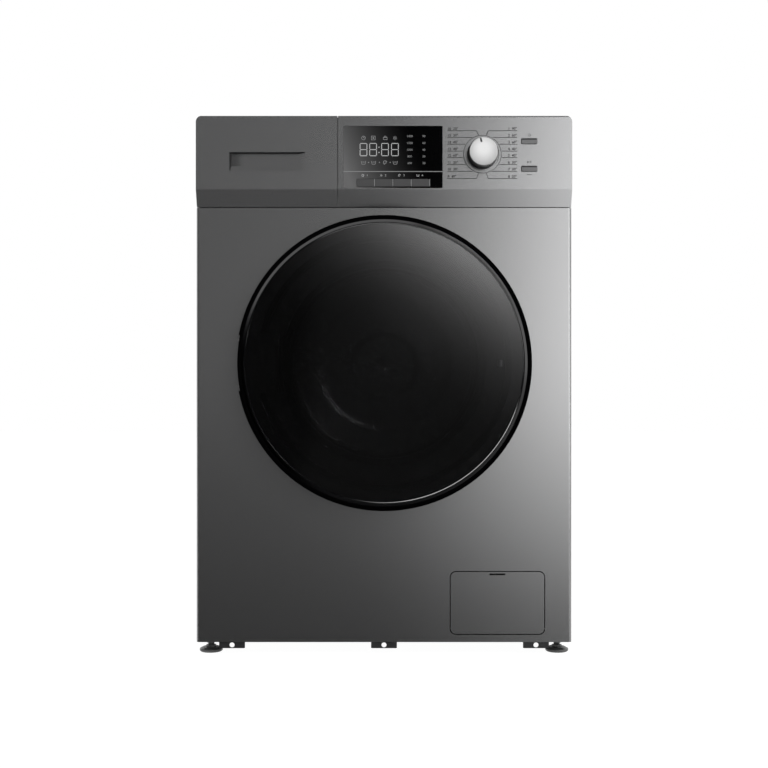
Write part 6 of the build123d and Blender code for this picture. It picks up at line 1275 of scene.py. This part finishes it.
def add_card(name, quads, clear, *receivers, hidden_from=()):
    """Sheet seen only in gloss and glass, lighting the named pieces or all but the hidden ones."""
    bm = bmesh.new()
    for corners in quads:
        bm.faces.new([bm.verts.new(corner) for corner in corners])
    bmesh.ops.remove_doubles(bm, verts=bm.verts, dist=1e-6)
    mesh = bpy.data.meshes.new(name)
    bm.to_mesh(mesh)
    bm.free()
    card = place_object(name, mesh)
    material, tree, output = blank_material(name)
    glow = add_node(tree, "ShaderNodeEmission")
    surface = glow.outputs[0]
    if clear:
        both = add_node(tree, "ShaderNodeAddShader")
        tree.links.new(surface, both.inputs[0])
        tree.links.new(add_node(tree, "ShaderNodeBsdfTransparent").outputs[0], both.inputs[1])
        surface = both.outputs[0]
    tree.links.new(surface, output.inputs["Surface"])
    mesh.materials.append(material)
    for ray in ("camera", "diffuse", "shadow"):
        setattr(card, "visible_" + ray, False)
    group = bpy.data.collections.new(name + "_lit")
    for piece in (*receivers, *hidden_from):
        group.objects.link(bpy.data.objects[piece] if piece in bpy.data.objects else NODES[piece])
    for row in group.collection_objects:
        row.light_linking.link_state = "EXCLUDE" if hidden_from else "INCLUDE"
    card.light_linking.receiver_collection = group
    return tree, glow


def sheet_rows(profile, left, right):
    """Quads of a sheet that follows a profile of y and z between two x."""
    return [((left, *a), (right, *a), (right, *b), (left, *b)) for a, b in zip(profile, profile[1:])]


GLASS_PIECES = ("cover_glass", "glass_line")


def build_cards(studio):
    """Graded studio cards that only gloss shows: dark on the left and low down, bright at the upper right."""
    reach, top = 4.5, 5.0
    front = FRONT_Y - 0.005
    profile = ((front, 0.004), (-3.0, 0.004), (-3.2, 0.06), (-3.3, 0.25), (-3.3, 4.0))
    tree, glow = add_card("studio_card", sheet_rows(profile, -reach, reach), False, hidden_from=GLASS_PIECES)
    across = times(tree, slanted_ramp(tree, 1.0, -0.15, -0.05, 0.93), studio.card_glow)
    away = times(tree, ramp_along(tree, "Y", front, front - 2.06), 0.18)
    upward = times(tree, ramp_along(tree, "Z", 0.0, 0.467), 0.55)
    near = plus(tree, plus(tree, away, upward), 0.25)
    level = times(tree, plus(tree, across, 0.168), near)
    tree.links.new(level, glow.inputs["Strength"])

    wings = []
    for side in (-reach, reach):
        wings.append(((side, -3.3, 0), (side, 2.0, 0), (side, 2.0, top), (side, -3.3, top)))
    tree, glow = add_card("wing_cards", wings, False, hidden_from=GLASS_PIECES)
    right = ramp_along(tree, "X", -reach, reach)
    low_down = ramp_along(tree, "Z", 1.4, 0.3)
    level = times(tree, plus(tree, low_down, 1.5), right)
    tree.links.new(plus(tree, level, 0.02), glow.inputs["Strength"])

    inner = [[(x * 0.99, y, z) for x, y, z in wing] for wing in wings]
    tree, glow = add_card("side_cards", inner, True, "side_panel_left", "side_panel_right", "top_panel")
    back = times(tree, ramp_along(tree, "Y", -2.4, 1.4), 0.5)
    tree.links.new(plus(tree, back, 0.25), glow.inputs["Strength"])

    canopy = ((-3.3, 4.0), (-2.6, 4.8), (-0.5, top), (2.0, top))
    tree, glow = add_card("canopy_card", sheet_rows(canopy, -reach, reach), False, hidden_from=GLASS_PIECES)
    glow.inputs["Strength"].default_value = 0.18

    profile = ((front, 0.007), (-2.6, 0.007), (-2.95, 0.1), (-3.1, 0.5), (-3.1, 3.0))
    tree, glow = add_card("glass_card", sheet_rows(profile, -2.0, 3.0), True, "cover_glass")
    bright = math_node(tree, "POWER", slanted_ramp(tree, 0.613, 0.790, -0.437, 1.463, "LINEAR"), 7.9)
    bright = times(tree, bright, studio.glass_glow)
    dim = times(tree, ramp_along(tree, "X", -0.50, -0.30), 0.04)
    dim = plus(tree, dim, 0.03)
    tree.links.new(plus(tree, bright, dim), glow.inputs["Strength"])

    tree, glow = add_card("facet_card", sheet_rows(((front, 0.006), (-2.4, 0.006)), -1.5, 2.5), True,
                          "control_panel", "drawer_front")
    bright = math_node(tree, "POWER", ramp_along(tree, "X", -0.05, 0.75), 1.5)
    bright = times(tree, bright, studio.facet_glow)
    tree.links.new(plus(tree, bright, 0.045), glow.inputs["Strength"])

    profile = ((-3.2, 0.9), (-3.2, 2.2), (-3.0, 4.6), (-1.5, 4.8))
    tree, glow = add_card("trim_card", sheet_rows(profile, -3.4, 0.6), True, "door_trim")
    bright = times(tree, ramp_along(tree, "Z", 0.9, 1.8), studio.trim_glow)
    tree.links.new(bright, glow.inputs["Strength"])

    profile = ((front, 0.008), (-1.6, 0.008))
    tree, glow = add_card("line_card", sheet_rows(profile, -0.2, 1.8), True, "glass_line")
    ends = times(tree, ramp_along(tree, "X", -0.12, 0.14), ramp_along(tree, "X", 1.7, 1.1))
    tree.links.new(times(tree, ends, studio.line_glow), glow.inputs["Strength"])

    profile = ((-3.15, 0.3), (-3.15, 4.2))
    tree, glow = add_card("line_sky_card", sheet_rows(profile, -1.5, 4.0), True, "glass_line")
    bright = times(tree, slanted_ramp(tree, 0.5, 0.866, 1.43, 3.03), 4.4)
    tree.links.new(bright, glow.inputs["Strength"])


def add_lamp(name, place, target, size, power):
    """Soft area lamp that looks at a point."""
    data = bpy.data.lights.new(name, "AREA")
    data.shape = "DISK"
    data.size = size
    data.energy = power
    lamp = place_object(name, data)
    lamp.location = place
    lamp.rotation_euler = (Vector(target) - Vector(place)).to_track_quat("-Z", "Y").to_euler()
    lamp.visible_glossy = False
    return lamp


class WASHER_OT_stage(bpy.types.Operator):
    """Camera square to the front, soft lamps, white floor and background"""
    bl_idname = "washer.stage"
    bl_label = "Stage"

    def execute(self, context):
        scene = context.scene
        studio = scene.washer_studio
        data = bpy.data.cameras.new("camera")
        data.lens = studio.lens
        data.sensor_width = 36
        data.clip_end = 60
        camera = place_object("camera", data)
        camera.location = (0, FRONT_Y - studio.camera_distance, studio.camera_height)
        camera.rotation_euler = (math.pi / 2, 0, 0)
        scene.camera = camera
        build_world(studio.sky)
        build_floor()
        build_cards(studio)
        add_lamp("key_lamp", (1.7, -2.4, 2.5), (0, 0, 0.5), 1.6, studio.key_power)
        add_lamp("fill_lamp", (-1.9, -1.6, 1.9), (0, 0, 0.5), 1.8, studio.fill_power)
        scene.view_settings.view_transform = "Standard"
        return {"FINISHED"}


OPERATORS = (
    WASHER_OT_finishes, WASHER_OT_display, WASHER_OT_dial_print, WASHER_OT_pocket, WASHER_OT_flap_lip,
    WASHER_OT_cover_glass, WASHER_OT_trim, WASHER_OT_gasket, WASHER_OT_perforations,
    WASHER_OT_springs, WASHER_OT_hoses, WASHER_OT_belt, WASHER_OT_stage,
)


class WASHER_PT_panel(bpy.types.Panel):
    """Sidebar list of the washing machine's steps"""
    bl_idname = "WASHER_PT_panel"
    bl_label = "Washing machine"
    bl_space_type = "VIEW_3D"
    bl_region_type = "UI"
    bl_category = "Washer"

    def draw(self, context):
        for operator in OPERATORS:
            self.layout.operator(operator.bl_idname)


SETTINGS = (("washer_finishes", WasherFinishes), ("washer_sizes", WasherSizes), ("washer_studio", WasherStudio))


def register():
    """Register settings, operators and panel."""
    for name, group in SETTINGS:
        bpy.utils.register_class(group)
        setattr(bpy.types.Scene, name, PointerProperty(type=group))
    for operator in OPERATORS:
        bpy.utils.register_class(operator)
    bpy.utils.register_class(WASHER_PT_panel)


def unregister():
    """Take back what register added."""
    bpy.utils.unregister_class(WASHER_PT_panel)
    for operator in reversed(OPERATORS):
        bpy.utils.unregister_class(operator)
    for name, group in reversed(SETTINGS):
        delattr(bpy.types.Scene, name)
        bpy.utils.unregister_class(group)


def main():
    """Build the looks in order."""
    register()
    for operator in OPERATORS:
        space, step = operator.bl_idname.split(".")
        getattr(getattr(bpy.ops, space), step)()


if __name__ == "__main__":
    main()
